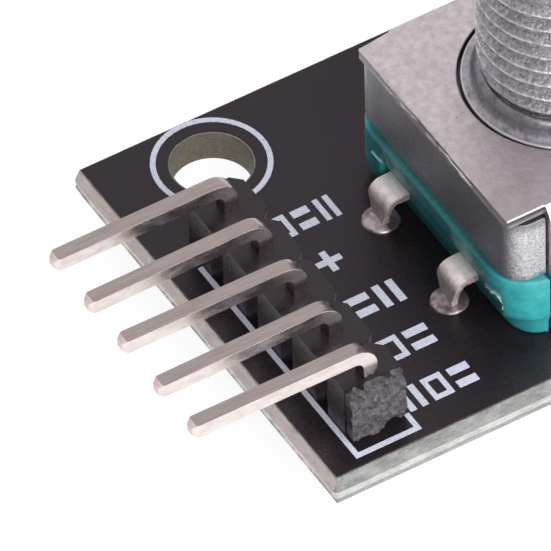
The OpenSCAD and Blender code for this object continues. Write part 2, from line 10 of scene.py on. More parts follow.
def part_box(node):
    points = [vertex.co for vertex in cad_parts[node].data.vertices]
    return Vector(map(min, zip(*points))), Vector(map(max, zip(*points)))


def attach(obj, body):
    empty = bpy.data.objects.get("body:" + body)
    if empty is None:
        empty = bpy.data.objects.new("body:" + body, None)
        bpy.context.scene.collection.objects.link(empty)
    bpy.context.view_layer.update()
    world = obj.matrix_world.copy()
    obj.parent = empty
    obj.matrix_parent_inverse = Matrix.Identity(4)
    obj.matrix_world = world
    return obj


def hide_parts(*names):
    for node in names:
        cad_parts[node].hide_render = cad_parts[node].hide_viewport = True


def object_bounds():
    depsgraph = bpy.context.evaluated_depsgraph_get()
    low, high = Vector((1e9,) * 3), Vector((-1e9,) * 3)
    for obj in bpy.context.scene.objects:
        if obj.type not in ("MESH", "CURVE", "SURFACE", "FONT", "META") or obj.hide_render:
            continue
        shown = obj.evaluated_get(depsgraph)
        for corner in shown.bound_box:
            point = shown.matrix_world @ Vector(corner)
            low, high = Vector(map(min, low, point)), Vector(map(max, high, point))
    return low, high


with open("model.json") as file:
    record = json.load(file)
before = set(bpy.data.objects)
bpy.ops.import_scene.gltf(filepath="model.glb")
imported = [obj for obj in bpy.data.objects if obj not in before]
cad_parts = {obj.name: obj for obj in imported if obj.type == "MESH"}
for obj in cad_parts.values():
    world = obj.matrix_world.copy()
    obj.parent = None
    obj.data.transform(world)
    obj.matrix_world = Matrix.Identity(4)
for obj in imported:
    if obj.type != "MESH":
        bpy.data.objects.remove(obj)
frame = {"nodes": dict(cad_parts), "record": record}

cad_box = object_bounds()
MM = 0.001
NODES = frame["nodes"]
SLOTS = {row["node"]: row["material_slot"] for row in frame["record"]["subparts"]}
BODY = "module"


# ---- camera ----
VIEW_AZIMUTH, VIEW_ELEVATION, VIEW_ROLL = -30.16, 46.99, -1.54   # degrees
VIEW_DISTANCE = 602 * MM
VIEW_WIDTH = 21.03 * MM          # width of the picture at the target
TARGET = Vector((-11.8, 2.18, -6.6)) * MM


def heading(azimuth, elevation):
    """Unit vector towards an azimuth measured from -Y towards +X, and an elevation."""
    az, el = math.radians(azimuth), math.radians(elevation)
    return Vector((math.sin(az) * math.cos(el), -math.cos(az) * math.cos(el), math.sin(el)))


def make_camera():
    back = heading(VIEW_AZIMUTH, VIEW_ELEVATION)
    data = bpy.data.cameras.new("camera")
    data.sensor_width = 36
    data.lens = data.sensor_width * VIEW_DISTANCE / VIEW_WIDTH
    data.clip_start = 0.05
    data.clip_end = 5
    camera = bpy.data.objects.new("camera", data)
    camera.rotation_mode = "QUATERNION"
    camera.rotation_quaternion = (-back).to_track_quat("-Z", "Y") @ Matrix.Rotation(
        math.radians(VIEW_ROLL), 4, "Z").to_quaternion()
    camera.location = TARGET + back * VIEW_DISTANCE
    bpy.context.collection.objects.link(camera)
    bpy.context.scene.camera = camera


# ---- shader nodes, for the finishes and the world ----
def feed(tree, socket, value):
    if isinstance(value, bpy.types.NodeSocket):
        tree.links.new(value, socket)
    else:
        socket.default_value = value


def add_node(tree, kind, inputs=None, **settings):
    node = tree.nodes.new("ShaderNode" + kind)
    for name, value in settings.items():
        setattr(node, name, value)
    for key, value in (inputs or {}).items():
        feed(tree, node.inputs[key], value)
    return node


def smooth_step(tree, value, low, high, out_low, out_high):
    """Runs smoothly from one output to the other as the value goes from low to high."""
    return add_node(tree, "MapRange", {"Value": value, "From Min": low, "From Max": high,
                                       "To Min": out_low, "To Max": out_high},
                    interpolation_type="SMOOTHSTEP").outputs["Result"]


# ---- materials ----
def rgb(r, g, b):
    """A display colour from 0 to 255 as linear RGBA."""
    def linear(c):
        c /= 255
        return c / 12.92 if c <= 0.04045 else ((c + 0.055) / 1.055) ** 2.4
    return (linear(r), linear(g), linear(b), 1.0)


class Finish:
    """One node-built material. Texture space is the object's own, in millimetres."""

    def __init__(self, name, metallic=0.0, rough=0.5):
        self.name = name
        self.mat = bpy.data.materials.new(name)
        self.mat.use_nodes = True
        self.tree = self.mat.node_tree
        self.shader = self.tree.nodes["Principled BSDF"]
        self.set("Metallic", metallic).set("Roughness", rough)
        coords = self.node("TexCoord")
        self.mm = self.node("VectorMath", {0: coords.outputs["Object"], "Scale": 1 / MM},
                            operation="SCALE").outputs[0]
        self.last_normal = None

    def node(self, kind, inputs=None, **settings):
        """A new shader node with these settings, its inputs fed by name or by number."""
        return add_node(self.tree, kind, inputs, **settings)

    def stretched(self, factors):
        return self.node("VectorMath", {0: self.mm, 1: factors}, operation="MULTIPLY").outputs[0]

    def noise(self, per_mm, detail=3.0, rough=0.55, stretch=(1, 1, 1), warp=0.0):
        return self.node("TexNoise", {"Vector": self.stretched(stretch), "Scale": per_mm,
                                      "Detail": detail, "Roughness": rough,
                                      "Distortion": warp}).outputs["Fac"]

    def cells(self, per_mm):
        return self.node("TexVoronoi", {"Vector": self.mm, "Scale": per_mm}).outputs["Distance"]

    def math(self, how, a, b=0.0):
        return self.node("Math", {0: a, 1: b}, operation=how).outputs[0]

    def times(self, a, b):
        return self.math("MULTIPLY", a, b)

    def blend(self, a, b, share):
        """Two values added, the second with the given share of the whole."""
        return self.math("ADD", self.times(a, 1 - share), self.times(b, share))

    def away(self, value, centre):
        """How far a value is from a centre, either way."""
        return self.math("ABSOLUTE", self.math("SUBTRACT", value, centre))

    def levels(self, value, low, high, out_low=0.0, out_high=1.0):
        return smooth_step(self.tree, value, low, high, out_low, out_high)

    def mix(self, factor, a, b):
        return self.node("Mix", {0: factor, 6: a, 7: b}, data_type="RGBA").outputs[2]

    def shades(self, value, low, high, dark, light):
        """A value between two levels turned into a tone between two display colours."""
        return self.mix(self.levels(value, low, high), rgb(*dark), rgb(*light))

    def axis(self, name):
        return self.node("SeparateXYZ", {0: self.mm}).outputs[name]

    def radius(self):
        """Distance from the shaft's axis."""
        x, y = self.axis("X"), self.axis("Y")
        return self.math("SQRT", self.math("ADD", self.times(x, x), self.times(y, y)))

    def rings(self, per_mm, detail):
        """Noise that only changes with distance from the axis, and with height."""
        place = self.node("CombineXYZ", {0: self.radius(), 2: self.axis("Z")}).outputs[0]
        return self.node("TexNoise", {"Vector": place, "Scale": per_mm,
                                      "Detail": detail}).outputs["Fac"]

    def facing(self, name):
        """How much the true surface faces along an axis, from -1 to 1."""
        normal = self.node("NewGeometry").outputs["True Normal"]
        return self.node("SeparateXYZ", {0: normal}).outputs[name]

    def square_to(self, name):
        """The same either way along the axis, from 0 to 1."""
        return self.math("ABSOLUTE", self.facing(name))

    def edges(self, low, high):
        return self.levels(self.node("NewGeometry").outputs["Pointiness"], low, high)

    def set(self, name, value):
        feed(self.tree, self.shader.inputs[name], value)
        return self

    def color(self, value):
        return self.set("Base Color", value)

    def roughness(self, value, low, high, start=0.3):
        return self.set("Roughness", self.levels(value, start, 0.7, low, high))

    def bump(self, height, depth_mm):
        inputs = {"Strength": 1.0, "Distance": depth_mm * MM, "Height": height}
        if self.last_normal is not None:
            inputs["Normal"] = self.last_normal
        self.last_normal = self.node("Bump", inputs).outputs["Normal"]
        return self.set("Normal", self.last_normal)


def laminate(name, front, side):
    """Glass fibre board: bundles of fibre show on the scored edges. The long edges are painted
    darker than the short ones, painted shade and light by which way each edge faces; the tones of
    each are given as (dark, light)."""
    f = Finish(name, rough=0.75)
    fibres = f.noise(7, 5, 0.7, (1, 1, 3.5))
    patches = f.noise(1.3, 4, 0.65, (1, 1, 2.5))
    glass = f.blend(fibres, patches, 0.55)
    end = f.levels(f.square_to("X"), 0.80, 0.98)
    # painted light and shade: faces that look along X take the lighter end tones, the rest the
    # darker long-edge tones
    tone = f.mix(end, f.shades(glass, 0.36, 0.64, *front), f.shades(glass, 0.36, 0.64, *side))
    return f.color(tone).bump(fibres, 0.04).bump(f.noise(16, 3), 0.02)


def bare_bore():
    """The drilled wall of a fixing hole, resin brown with drill marks."""
    f = Finish("bare_bore", rough=0.6)
    grain = f.noise(5, 4, 0.6, (1, 1, 6))
    tone = f.shades(grain, 0.3, 0.7, (78, 70, 60), (122, 113, 97))
    return f.color(tone).bump(grain, 0.03)


def mask():
    """Glossy black coating with a faint print texture and dust."""
    f = Finish("mask", rough=0.3)
    f.set("Specular IOR Level", 0.44).set("Specular Tint", (1.0, 0.84, 0.95, 1))
    cloud = f.noise(0.6, 3)
    dust = f.levels(f.cells(2.3), 0.035, 0.02)
    tone = f.mix(cloud, rgb(22, 17, 20), rgb(33, 28, 32))
    tone = f.mix(f.times(dust, 0.35), tone, rgb(170, 170, 175))
    f.roughness(f.noise(9, 4), 0.24, 0.38)
    return f.color(tone).bump(f.noise(5, 3), 0.006).bump(f.noise(24, 2), 0.003)


def ink():
    """White screen print, a little patchy."""
    f = Finish("ink", rough=0.6)
    patch = f.noise(9, 4, 0.65)
    tone = f.shades(patch, 0.30, 0.52, (176, 178, 196), (208, 210, 226))
    return f.color(tone).bump(patch, 0.012)


def tinned(name, bright, dull, rough):
    """Tinned metal with dull clouds."""
    f = Finish(name, metallic=1.0, rough=rough)
    cloud = f.noise(3, 4, 0.6)
    f.color(f.shades(cloud, 0.35, 0.65, dull, bright))
    f.roughness(f.noise(8, 3), rough - 0.06, rough + 0.14)
    return f.bump(f.noise(6, 3), 0.012)


def solder():
    """Smooth frozen metal, bright, a little pink where flux is left."""
    f = Finish("solder", metallic=0.8, rough=0.30)
    cloud = f.noise(2.4, 3, 0.5)
    f.color(f.shades(cloud, 0.35, 0.65, (130, 115, 120), (194, 180, 184)))
    f.roughness(f.noise(3, 3), 0.28, 0.44)
    return f.bump(f.noise(2.2, 2), 0.016)


def pin_metal():
    """Plated square wire, drawn lengthwise. The upright sides are painted lighter than the top,
    painted light and shade by which way each face looks, and the legs are painted dark below
    the bend, a painted reflection of the black strip.
    """
    f = Finish("pin_metal", metallic=1.0, rough=0.16)
    drawn = f.noise(10, 4, 0.6, (0.08, 1, 1))
    # painted light and shade: faces that look up get the darker top tone, the upright sides the
    # lighter one
    level = f.levels(f.square_to("Z"), 0.3, 0.9)
    dull = f.shades(drawn, 0.3, 0.7, (172, 158, 157), (190, 175, 174))
    handled = f.levels(f.noise(3.2, 5, 0.65, (0.5, 1, 1)), 0.35, 0.65)
    tone = f.mix(level, f.mix(handled, rgb(226, 213, 211), rgb(240, 230, 228)), dull)
    cut = f.levels(f.square_to("X"), 0.3, 0.6)
    cut = f.times(cut, f.levels(f.axis("X"), TIP_X + 0.6, TIP_X + 0.5))
    tone = f.mix(cut, tone, rgb(214, 200, 198))
    f.set("Metallic", f.levels(cut, 0, 1, 1.0, 0.15))
    # painted shade: the legs turn dark below the bend, a painted reflection of the black strip
    shade = f.levels(f.axis("Z"), PIN_TOP - 0.72, PIN_TOP - 1.05, 0, 0.85)
    leg = f.levels(f.noise(4, 4, 0.6), 0.35, 0.65)
    f.color(f.mix(shade, tone, f.mix(leg, rgb(84, 78, 80), rgb(128, 120, 120))))
    f.roughness(f.noise(3, 4, 0.6, (0.3, 1, 1)), 0.20, 0.32, 0.35)
    return f.bump(f.noise(1.0, 2), 0.010)


def header_plastic():
    """Black moulding, glossy, with faint flow marks."""
    f = Finish("header_plastic", rough=0.32)
    f.set("Specular Tint", (1.0, 0.9, 0.98, 1))
    f.color(f.mix(f.noise(1.3, 3), rgb(21, 15, 17), rgb(40, 32, 36)))
    f.roughness(f.noise(6, 3), 0.26, 0.42)
    return f.bump(f.noise(3, 3), 0.012).bump(f.noise(20, 2), 0.004)


def broken_plastic():
    """Where the strip was snapped off: torn, grey and matt, with painted highlights on the raised
    chips and painted shade in the low pits.
    """
    f = Finish("broken_plastic", rough=0.75)
    torn = f.noise(4.5, 6, 0.68, warp=0.5)
    tone = f.shades(torn, 0.36, 0.68, (48, 44, 48), (94, 89, 94))
    chips = f.noise(9, 5, 0.7, warp=0.4)
    # painted highlight on the raised chips, then painted shade in the low pits
    tone = f.mix(f.levels(chips, 0.62, 0.68, 0, 0.6), tone, rgb(150, 145, 150))
    f.color(f.mix(f.levels(chips, 0.40, 0.34), tone, rgb(26, 23, 26)))
    return f.bump(torn, 0.05).bump(chips, 0.018)


def teal_plastic():
    """Glass filled nylon: slightly translucent, semi gloss, with swirls and scuffs. Painted shade
    on the sides between the corner posts and on the faces that look up, a painted highlight on
    the sides beside the leads, and a painted highlight on the sharp edges that also stands for
    scuffing.
    """
    f = Finish("teal_plastic", rough=0.36)
    f.set("Subsurface Weight", 0.12).set("Subsurface Scale", 0.5 * MM)
    f.set("Subsurface Radius", (0.25, 1.0, 0.95))
    swirl = f.noise(1.1, 4, 0.6, warp=0.6)
    tone = f.shades(swirl, 0.3, 0.7, (42, 138, 141), (49, 158, 160))
    scuff = f.levels(f.noise(6, 5, 0.7), 0.60, 0.76, 0, 0.2)
    tone = f.mix(scuff, tone, rgb(120, 186, 186))
    # painted shade: the sides that look along X darken between the corner posts
    aside = f.levels(f.square_to("X"), 0.5, 0.9)
    y = f.math("ABSOLUTE", f.axis("Y"))
    tone = f.mix(f.times(aside, f.levels(y, 5.4, 3.4, 0, 0.85)), tone, rgb(19, 78, 84))
    # painted shade on the faces that look up, away from the ends
    ledge = f.times(f.levels(f.facing("Z"), 0.2, 0.6), f.levels(y, 5.0, 4.0, 0, 0.75))
    tone = f.mix(ledge, tone, rgb(22, 86, 90))
    # painted highlight: paler patches on the sides beside the leads
    lead_side_highlight = f.levels(f.away(y, 2.5), 1.0, 0.3, 0, 0.75)
    lead_side_highlight = f.times(lead_side_highlight, f.levels(f.noise(1.6, 4, 0.6), 0.35, 0.65, 0.3, 1))
    lead_side_highlight = f.times(lead_side_highlight, f.levels(f.axis("Z"), Z_BOARD + 1.5, Z_BOARD + 2.0))
    tone = f.mix(f.times(aside, lead_side_highlight), tone, rgb(118, 160, 154))
    # painted highlight on the sharp edges, which also stands for scuffing
    tone = f.mix(f.times(f.edges(0.53, 0.62), 0.45), tone, rgb(110, 176, 172))
    f.roughness(f.noise(5, 4), 0.28, 0.50)
    return f.color(tone).bump(f.noise(7, 4, 0.6), 0.014).bump(f.noise(1.6, 2), 0.02)


def moulded(name, dark, light, rough=0.45):
    """Plain moulded plastic."""
    f = Finish(name, rough=rough)
    f.color(f.mix(f.noise(1.5, 3), rgb(*dark), rgb(*light)))
    f.roughness(f.noise(6, 3), rough - 0.08, rough + 0.1)
    return f.bump(f.noise(9, 3), 0.01)


def lead_metal():
    """Tinned strip: warm grey with fine rolled grain and shear marks. The faces that look up are
    painted lighter than the upright ones, painted light and shade by which way each face looks.
    """
    f = Finish("lead_metal", metallic=0.32, rough=0.48)
    rolled = f.noise(9, 5, 0.65, (0.3, 1, 0.3))
    blotch = f.noise(3.4, 5, 0.65)
    both = f.blend(rolled, blotch, 0.6)
    # painted light and shade: faces that look up take the light tones, upright faces the darker
    # ones
    up = f.levels(f.square_to("Z"), 0.35, 0.95)
    f.color(f.mix(up, f.shades(both, 0.36, 0.62, (144, 132, 130), (186, 174, 171)),
                  f.shades(both, 0.36, 0.62, (226, 212, 211), (253, 243, 242))))
    f.roughness(f.noise(5, 4), 0.36, 0.50)
    return f.bump(rolled, 0.006).bump(f.noise(14, 3), 0.004)


def zinc(name, grain_depth, per_mm, dark, light):
    """Die cast zinc: grey skin full of fine pits. Light and shade are painted in: the faces that
    look along Y lighter than the others, painted shade just under the plate and on the faces that
    look up, a painted highlight towards the back end and on the lower edges; on the thread,
    painted shade in the roots and a painted highlight on the crests. The edge and crest
    highlights also stand for rubbed high spots.
    """
    f = Finish(name, metallic=1.0)
    skin = f.noise(per_mm, 6, 0.72)
    cloud = f.noise(0.9, 3)
    speckle = f.levels(skin, 0.34, 0.68)
    tone = f.mix(speckle, rgb(*dark), rgb(*light))
    tone = f.mix(f.levels(cloud, 0.35, 0.65, 0, 0.35), tone, rgb(140, 137, 144))
    pits = f.times(f.levels(f.cells(per_mm * 0.7), 0.20, 0.10), 0.7)
    if name != "cast_thread":
        # painted light and shade: the long faces, which look along Y, lighter and speckled; the
        # other two smoother and darker
        sheen_and_wear = f.levels(f.square_to("Y"), 0.2, 0.75)
        tone = f.mix(sheen_and_wear, f.mix(speckle, rgb(150, 148, 154), rgb(182, 180, 186)),
                     f.shades(f.noise(11, 5, 0.7), 0.34, 0.62, (160, 158, 162), (232, 230, 234)))
        # painted shade just under the plate, on the faces that look along Y
        under = f.times(f.levels(f.axis("Z"), -1.1, -0.55, 0, 0.6), sheen_and_wear)
        tone = f.mix(under, tone, rgb(86, 84, 88))
        # painted shade on the faces that look up
        tone = f.mix(f.levels(f.facing("Z"), 0.12, 0.4), tone, rgb(104, 101, 106))
        # painted highlight: the faces that do not look along Y turn near white towards the back
        # end
        pale = f.times(f.levels(f.axis("Y"), 3.9, 6.0, 0, 0.8), f.math("SUBTRACT", 1.0, sheen_and_wear))
        tone = f.mix(pale, tone, rgb(250, 250, 252))
        pits = f.times(pits, f.levels(sheen_and_wear, 0, 1, 0.2, 0.9))
    tone = f.mix(pits, tone, rgb(62, 60, 64))
    if name == "cast_thread":
        r = f.radius()
        # painted shade in the roots of the thread
        tone = f.mix(f.levels(r, 3.26, 3.18, 0, 0.35), tone, rgb(84, 80, 86))
        # painted highlight on the crests, broken up by noise that also stands for wear
        sheen_and_wear = f.levels(f.noise(2.4, 4, 0.6), 0.40, 0.60, 0.15, 0.8)
        tone = f.mix(f.times(f.levels(r, 3.43, 3.47), sheen_and_wear), tone, rgb(244, 240, 244))
        f.bump(f.levels(f.noise(5.5, 4, 0.65), 0.35, 0.65), 0.012)
    else:
        # painted highlight on the lower sharp edges, which also stands for rubbed high spots
        rim = f.times(f.edges(0.53, 0.60), f.levels(f.axis("Z"), -0.7, -1.1, 0, 0.35))
        tone = f.mix(rim, tone, rgb(236, 233, 236))
    f.roughness(skin, 0.52, 0.32)
    return f.color(tone).bump(skin, grain_depth)


def turned_zinc():
    """The boss round the bushing, faced on a lathe: fine rings, with a painted highlight at its
    rim and on the front of the lip, and painted shade in the hollow of the flare.
    """
    f = Finish("turned_zinc", metallic=1.0, rough=0.34)
    fine, wide = f.rings(7, 3), f.rings(2.2, 2)
    tone = f.shades(wide, 0.35, 0.65, (150, 146, 155), (184, 180, 189))
    tone = f.mix(f.levels(fine, 0.4, 0.7, 0, 0.25), tone, rgb(190, 186, 194))
    tone = f.mix(f.levels(f.noise(1.7, 5, 0.65), 0.42, 0.66, 0, 0.6), tone, rgb(96, 94, 104))
    tone = f.mix(f.levels(f.noise(6, 4, 0.6), 0.50, 0.70, 0, 0.4), tone, rgb(84, 81, 90))
    r = f.radius()
    # painted shade in the hollow of the flare
    tone = f.mix(f.levels(f.away(r, 3.62), 0.16, 0.04, 0, 0.45), tone, rgb(70, 67, 74))
    # painted highlight along the front of the lip
    lip = f.levels(f.away(r, 3.42), 0.06, 0.02)
    lip = f.times(lip, f.levels(f.noise(1.6, 4, 0.6), 0.35, 0.6, 0.1, 0.7))
    lip = f.times(lip, f.levels(f.axis("Y"), -1.4, -2.6))
    tone = f.mix(lip, tone, rgb(238, 235, 240))
    # painted highlight at the outer rim
    tone = f.mix(f.levels(r, 3.98, 4.03, 0, 0.8), tone, rgb(232, 228, 234))
    f.roughness(f.noise(5, 4), 0.30, 0.46)
    return f.color(tone).bump(fine, 0.006).bump(f.noise(9, 4), 0.004)


def bracket_steel():
    """Plated steel sheet: warm mottled grey, with stains, pits and rolling grain."""
    f = Finish("bracket_steel", metallic=1.0, rough=0.42)
    mottle = f.noise(2.6, 6, 0.68)
    stain = f.noise(0.55, 4, 0.6, warp=0.8)
    fine = f.noise(16, 4, 0.6)
    tone = f.shades(mottle, 0.32, 0.68, (209, 197, 202), (232, 221, 226))
    tone = f.mix(f.levels(stain, 0.50, 0.70, 0, 0.35), tone, rgb(186, 177, 178))
    spots = f.levels(f.cells(1.25), 0.075, 0.03)
    tone = f.mix(f.times(spots, 0.7), tone, rgb(92, 86, 84))
    f.roughness(mottle, 0.50, 0.36)
    return f.color(tone).bump(fine, 0.010).bump(mottle, 0.018)


def sheared_steel(name="sheared_steel", dark=(118, 115, 118), light=(244, 238, 232)):
    """A cut edge of the sheet, with bright streaks along the cut. The plate's outer edge is torn
    along the middle of its sides and smooth beyond. The faces that look along Y are painted dark,
    a painted reflection of the dark that the smooth cut mirrors."""
    f = Finish(name, metallic=1.0, rough=0.36)
    streak = f.noise(2.6, 5, 0.65, (0.25, 0.25, 5))
    bright = f.levels(streak, 0.44, 0.62)
    if name == "sheared_steel":
        y = f.axis("Y")
        torn = f.times(f.levels(y, 3.2, 3.0), f.levels(y, -3.1, -2.8))
        bright = f.times(bright, f.levels(torn, 0, 1, 0.12, 1))
        f.set("Metallic", f.levels(torn, 0, 1, 0.45, 1))
        smooth = f.shades(y, -3.0, 3.4, (150, 145, 151), (176, 173, 178))
    tone = f.mix(bright, rgb(*dark), rgb(*light))
    if name == "sheared_steel":
        tone = f.mix(torn, smooth, tone)
    # painted reflection: faces that look along Y turn dark
    ahead = f.levels(f.square_to("Y"), 0.4, 0.8, 0, 0.94)
    f.color(f.mix(ahead, tone, rgb(84, 81, 84)))
    return f.bump(streak, 0.012).bump(f.noise(14, 3), 0.008)


def turned(name, dark, light, rough):
    """Metal turned on a lathe about Z: fine rings round the axis."""
    f = Finish(name, metallic=1.0, rough=rough)
    rings = f.noise(9, 3, 0.6, (0.02, 0.02, 1))
    cloud = f.noise(0.5, 2, 0.6)
    f.color(f.shades(f.blend(cloud, rings, 0.8), 0.3, 0.7, dark, light))
    f.roughness(rings, rough - 0.06, rough + 0.1)
    return f.bump(rings, 0.006).bump(f.noise(6, 3), 0.004)


def rolled_sheet(name, dark, light):
    """Thin sheet metal with the grain of the rolls."""
    f = Finish(name, metallic=1.0, rough=0.3)
    grain = f.noise(8, 4, 0.6, (1, 0.12, 1))
    f.color(f.shades(grain, 0.3, 0.7, dark, light))
    return f.bump(grain, 0.006)


def make_materials():
    finishes = (
        laminate("laminate", ((103, 104, 102), (146, 147, 145)),
                             ((184, 170, 168), (212, 200, 197))),
        laminate("torn_web", ((156, 156, 155), (190, 190, 189)),
                             ((206, 201, 200), (238, 236, 236))),
        # painted shade: a darker copy of the laminate for the bevel under the score, which faces
        # down
        laminate("scored_under_painted_shade", ((122, 121, 119), (158, 157, 155)),
                                 ((120, 116, 114), (150, 146, 143))),
        bare_bore(),
        moulded("worn_teal", (104, 164, 168), (182, 208, 210), 0.5),
        mask(), ink(),
        tinned("tinned_copper", (205, 200, 196), (150, 145, 140), 0.22),
        solder(),
        header_plastic(), broken_plastic(),
        pin_metal(),
        moulded("resistor_body", (18, 18, 20), (38, 38, 42), 0.3),
        tinned("tinned_caps", (214, 212, 208), (170, 168, 164), 0.25),
        teal_plastic(),
        moulded("black_plastic", (20, 20, 22), (40, 40, 42)),
        moulded("white_plastic", (214, 212, 204), (234, 232, 226), 0.4),
        lead_metal(),
        zinc("die_cast_zinc", 0.012, 6.5, (128, 126, 130), (216, 214, 218)),
        zinc("cast_thread", 0.008, 5.5, (150, 146, 150), (216, 212, 216)),
        turned_zinc(),
        bracket_steel(), sheared_steel(),
        # painted shade: a darker copy of the cut edge for the wall of the hole round the boss
        sheared_steel("pierced_steel_painted_shade", (40, 37, 39), (84, 79, 80)),
        rolled_sheet("contact_brass", (176, 140, 76), (214, 180, 112)),
        rolled_sheet("spring_steel", (160, 156, 150), (214, 210, 204)),
        turned("shaft_metal", (168, 168, 172), (204, 204, 208), 0.30),
        rolled_sheet("ring_steel", (70, 70, 74), (112, 112, 118)),
    )
    return {f.name: f for f in finishes}


# ---- mesh helpers ----
# Every mesh is made in millimetres and scaled to metres at the end.
def link(bm, name, materials, nodes, body=BODY, sharp=35, creases=()):
    """Turns the mesh into a piece of the model that rides on a body and stands for its nodes."""
    bmesh.ops.recalc_face_normals(bm, faces=bm.faces)
    for f in bm.faces:
        f.smooth = True
    for e in bm.edges:
        e.smooth = len(e.link_faces) != 2 or e.calc_face_angle(0) < math.radians(sharp)
    for e in creases:
        if e.is_valid:
            e.smooth = False
    bmesh.ops.scale(bm, vec=(MM, MM, MM), verts=bm.verts)
    mesh = bpy.data.meshes.new(name)
    bm.to_mesh(mesh)
    bm.free()
    for m in materials:
        mesh.materials.append(m.mat)
    piece = bpy.data.objects.new(name, mesh)
    bpy.context.collection.objects.link(piece)
    weigh = piece.modifiers.new("face_weighted_normals", "WEIGHTED_NORMAL")
    weigh.keep_sharp = True
    weigh.weight = 100
    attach(piece, body)
    if nodes:
        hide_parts(*nodes)


def cad_copy(node):
    """The CAD node's mesh in millimetres, welded, with its flat faces whole."""
    bm = bmesh.new()
    bm.from_mesh(NODES[node].data)
    bmesh.ops.scale(bm, vec=(1 / MM,) * 3, verts=bm.verts)
    bmesh.ops.remove_doubles(bm, verts=bm.verts, dist=2e-4)
    bmesh.ops.dissolve_limit(bm, angle_limit=math.radians(0.6), verts=bm.verts, edges=bm.edges,
                             delimit={"NORMAL"})
    return bm


def round_edges(bm, width, segments=2, over=28, where=None):
    picked = [e for e in bm.edges
              if len(e.link_faces) == 2 and e.calc_face_angle(0) > math.radians(over)
              and (where is None or where(e))]
    bmesh.ops.bevel(bm, geom=picked, offset=width, segments=segments, profile=0.5,
                    affect="EDGES", clamp_overlap=True)


def bands(bm, rings, material=0):
    """Quads from each ring of vertices to the next. The material is an index, or a function of
    height that gives one."""
    for low, high in zip(rings, rings[1:]):
        for p, q, r, s in zip(low, low[1:] + low[:1], high[1:] + high[:1], high):
            z = (p.co.z + s.co.z) / 2
            face = bm.faces.new((p, q, r, s))
            face.material_index = material(z) if callable(material) else material


def cut_across(bm, y, side, clear=False):
    """Cuts the mesh at a Y. Clearing takes away the part on that side of the cut."""
    return bmesh.ops.bisect_plane(bm, geom=bm.verts[:] + bm.edges[:] + bm.faces[:],
                                  plane_co=(0, y, 0), plane_no=(0, side, 0),
                                  clear_outer=clear)["geom_cut"]


def wobble(x, y, z, per_mm, seed=0.0):
    """Smooth noise from -1 to 1 at a point in millimetres."""
    return noise.noise(Vector((x * per_mm + seed, y * per_mm - seed, z * per_mm + 2 * seed)))


def arc_points(cx, cy, r, a0, a1, n):
    angles = [math.radians(a0 + (a1 - a0) * i / n) for i in range(n + 1)]
    return [(cx + r * math.cos(a), cy + r * math.sin(a)) for a in angles]


def circle_points(cx, cy, r, n):
    """Clockwise, as a hole needs."""
    return arc_points(cx, cy, r, 0, -360, n)[:-1]


def resample(points, step):
    """A closed outline cut into short steps, keeping its corners."""
    out = []
    for i, a in enumerate(points):
        b = points[(i + 1) % len(points)]
        d = math.dist(a, b)
        if d < 1e-6:
            continue
        n = max(1, round(d / step))
        out += [(a[0] + (b[0] - a[0]) * k / n, a[1] + (b[1] - a[1]) * k / n) for k in range(n)]
    return out


def outward(points):
    """The direction out of the material at each point of an outline."""
    normals = []
    for i, p in enumerate(points):
        a, b = points[i - 1], points[(i + 1) % len(points)]
        t = Vector((b[0] - a[0], b[1] - a[1])).normalized()
        normals.append((t.y, -t.x))
    return normals


def rounded_rect(l, w, r, n):
    out = []
    for sx, sy, a in ((1, -1, -90), (1, 1, 0), (-1, 1, 90), (-1, -1, 180)):
        out += arc_points(sx * (l / 2 - r), sy * (w / 2 - r), r, a, a + 90, n)
    return out


class Slab:
    """A solid built up from outlines. Each outline has levels (z, inset, roughness), where inset
    is millimetres into the material, or a function of x and y that gives them. Kept points stay
    on the outline, or go in by a level's fourth value."""

    def __init__(self):
        self.bm = bmesh.new()
        self.low, self.high, self.sharp = [], [], []

    def loop(self, points, levels, material=0, seed=0.0, per_mm=4.0, keep=None):
        normals = outward(points)
        rings = []
        for z, inset, rough, *kept in levels:
            ring = []
            for (x, y), (nx, ny) in zip(points, normals):
                d = inset(x, y) if callable(inset) else inset
                if rough:
                    d += rough * (0.5 + 0.5 * wobble(x, y, z, per_mm, seed)
                                  + 0.25 * wobble(x, y, z, per_mm * 3.1, seed))
                if keep and keep(x, y):
                    d = kept[0] if kept else 0
                ring.append(self.bm.verts.new((x - nx * d, y - ny * d, z)))
            rings.append(ring)
        bands(self.bm, rings, material)
        for ring, pool in ((rings[0], self.low), (rings[-1], self.high)):
            pool += [self.bm.edges.get(pair) for pair in zip(ring, ring[1:] + ring[:1])]

    def close(self):
        """Fills the flat regions below and above, between the loops."""
        for edges, up in ((self.low, -1), (self.high, 1)):
            bmesh.ops.triangle_fill(self.bm, edges=edges, use_beauty=True, use_dissolve=False,
                                    normal=(0, 0, up))
        self.sharp += self.low + self.high
        self.low, self.high = [], []
        return self

    def finish(self, name, materials, slot, nodes, sharp=35):
        link(self.bm, name, materials, nodes, sharp=sharp, creases=self.sharp)


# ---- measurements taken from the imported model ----
def mm_box(node):
    lo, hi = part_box(node)
    return lo / MM, hi / MM


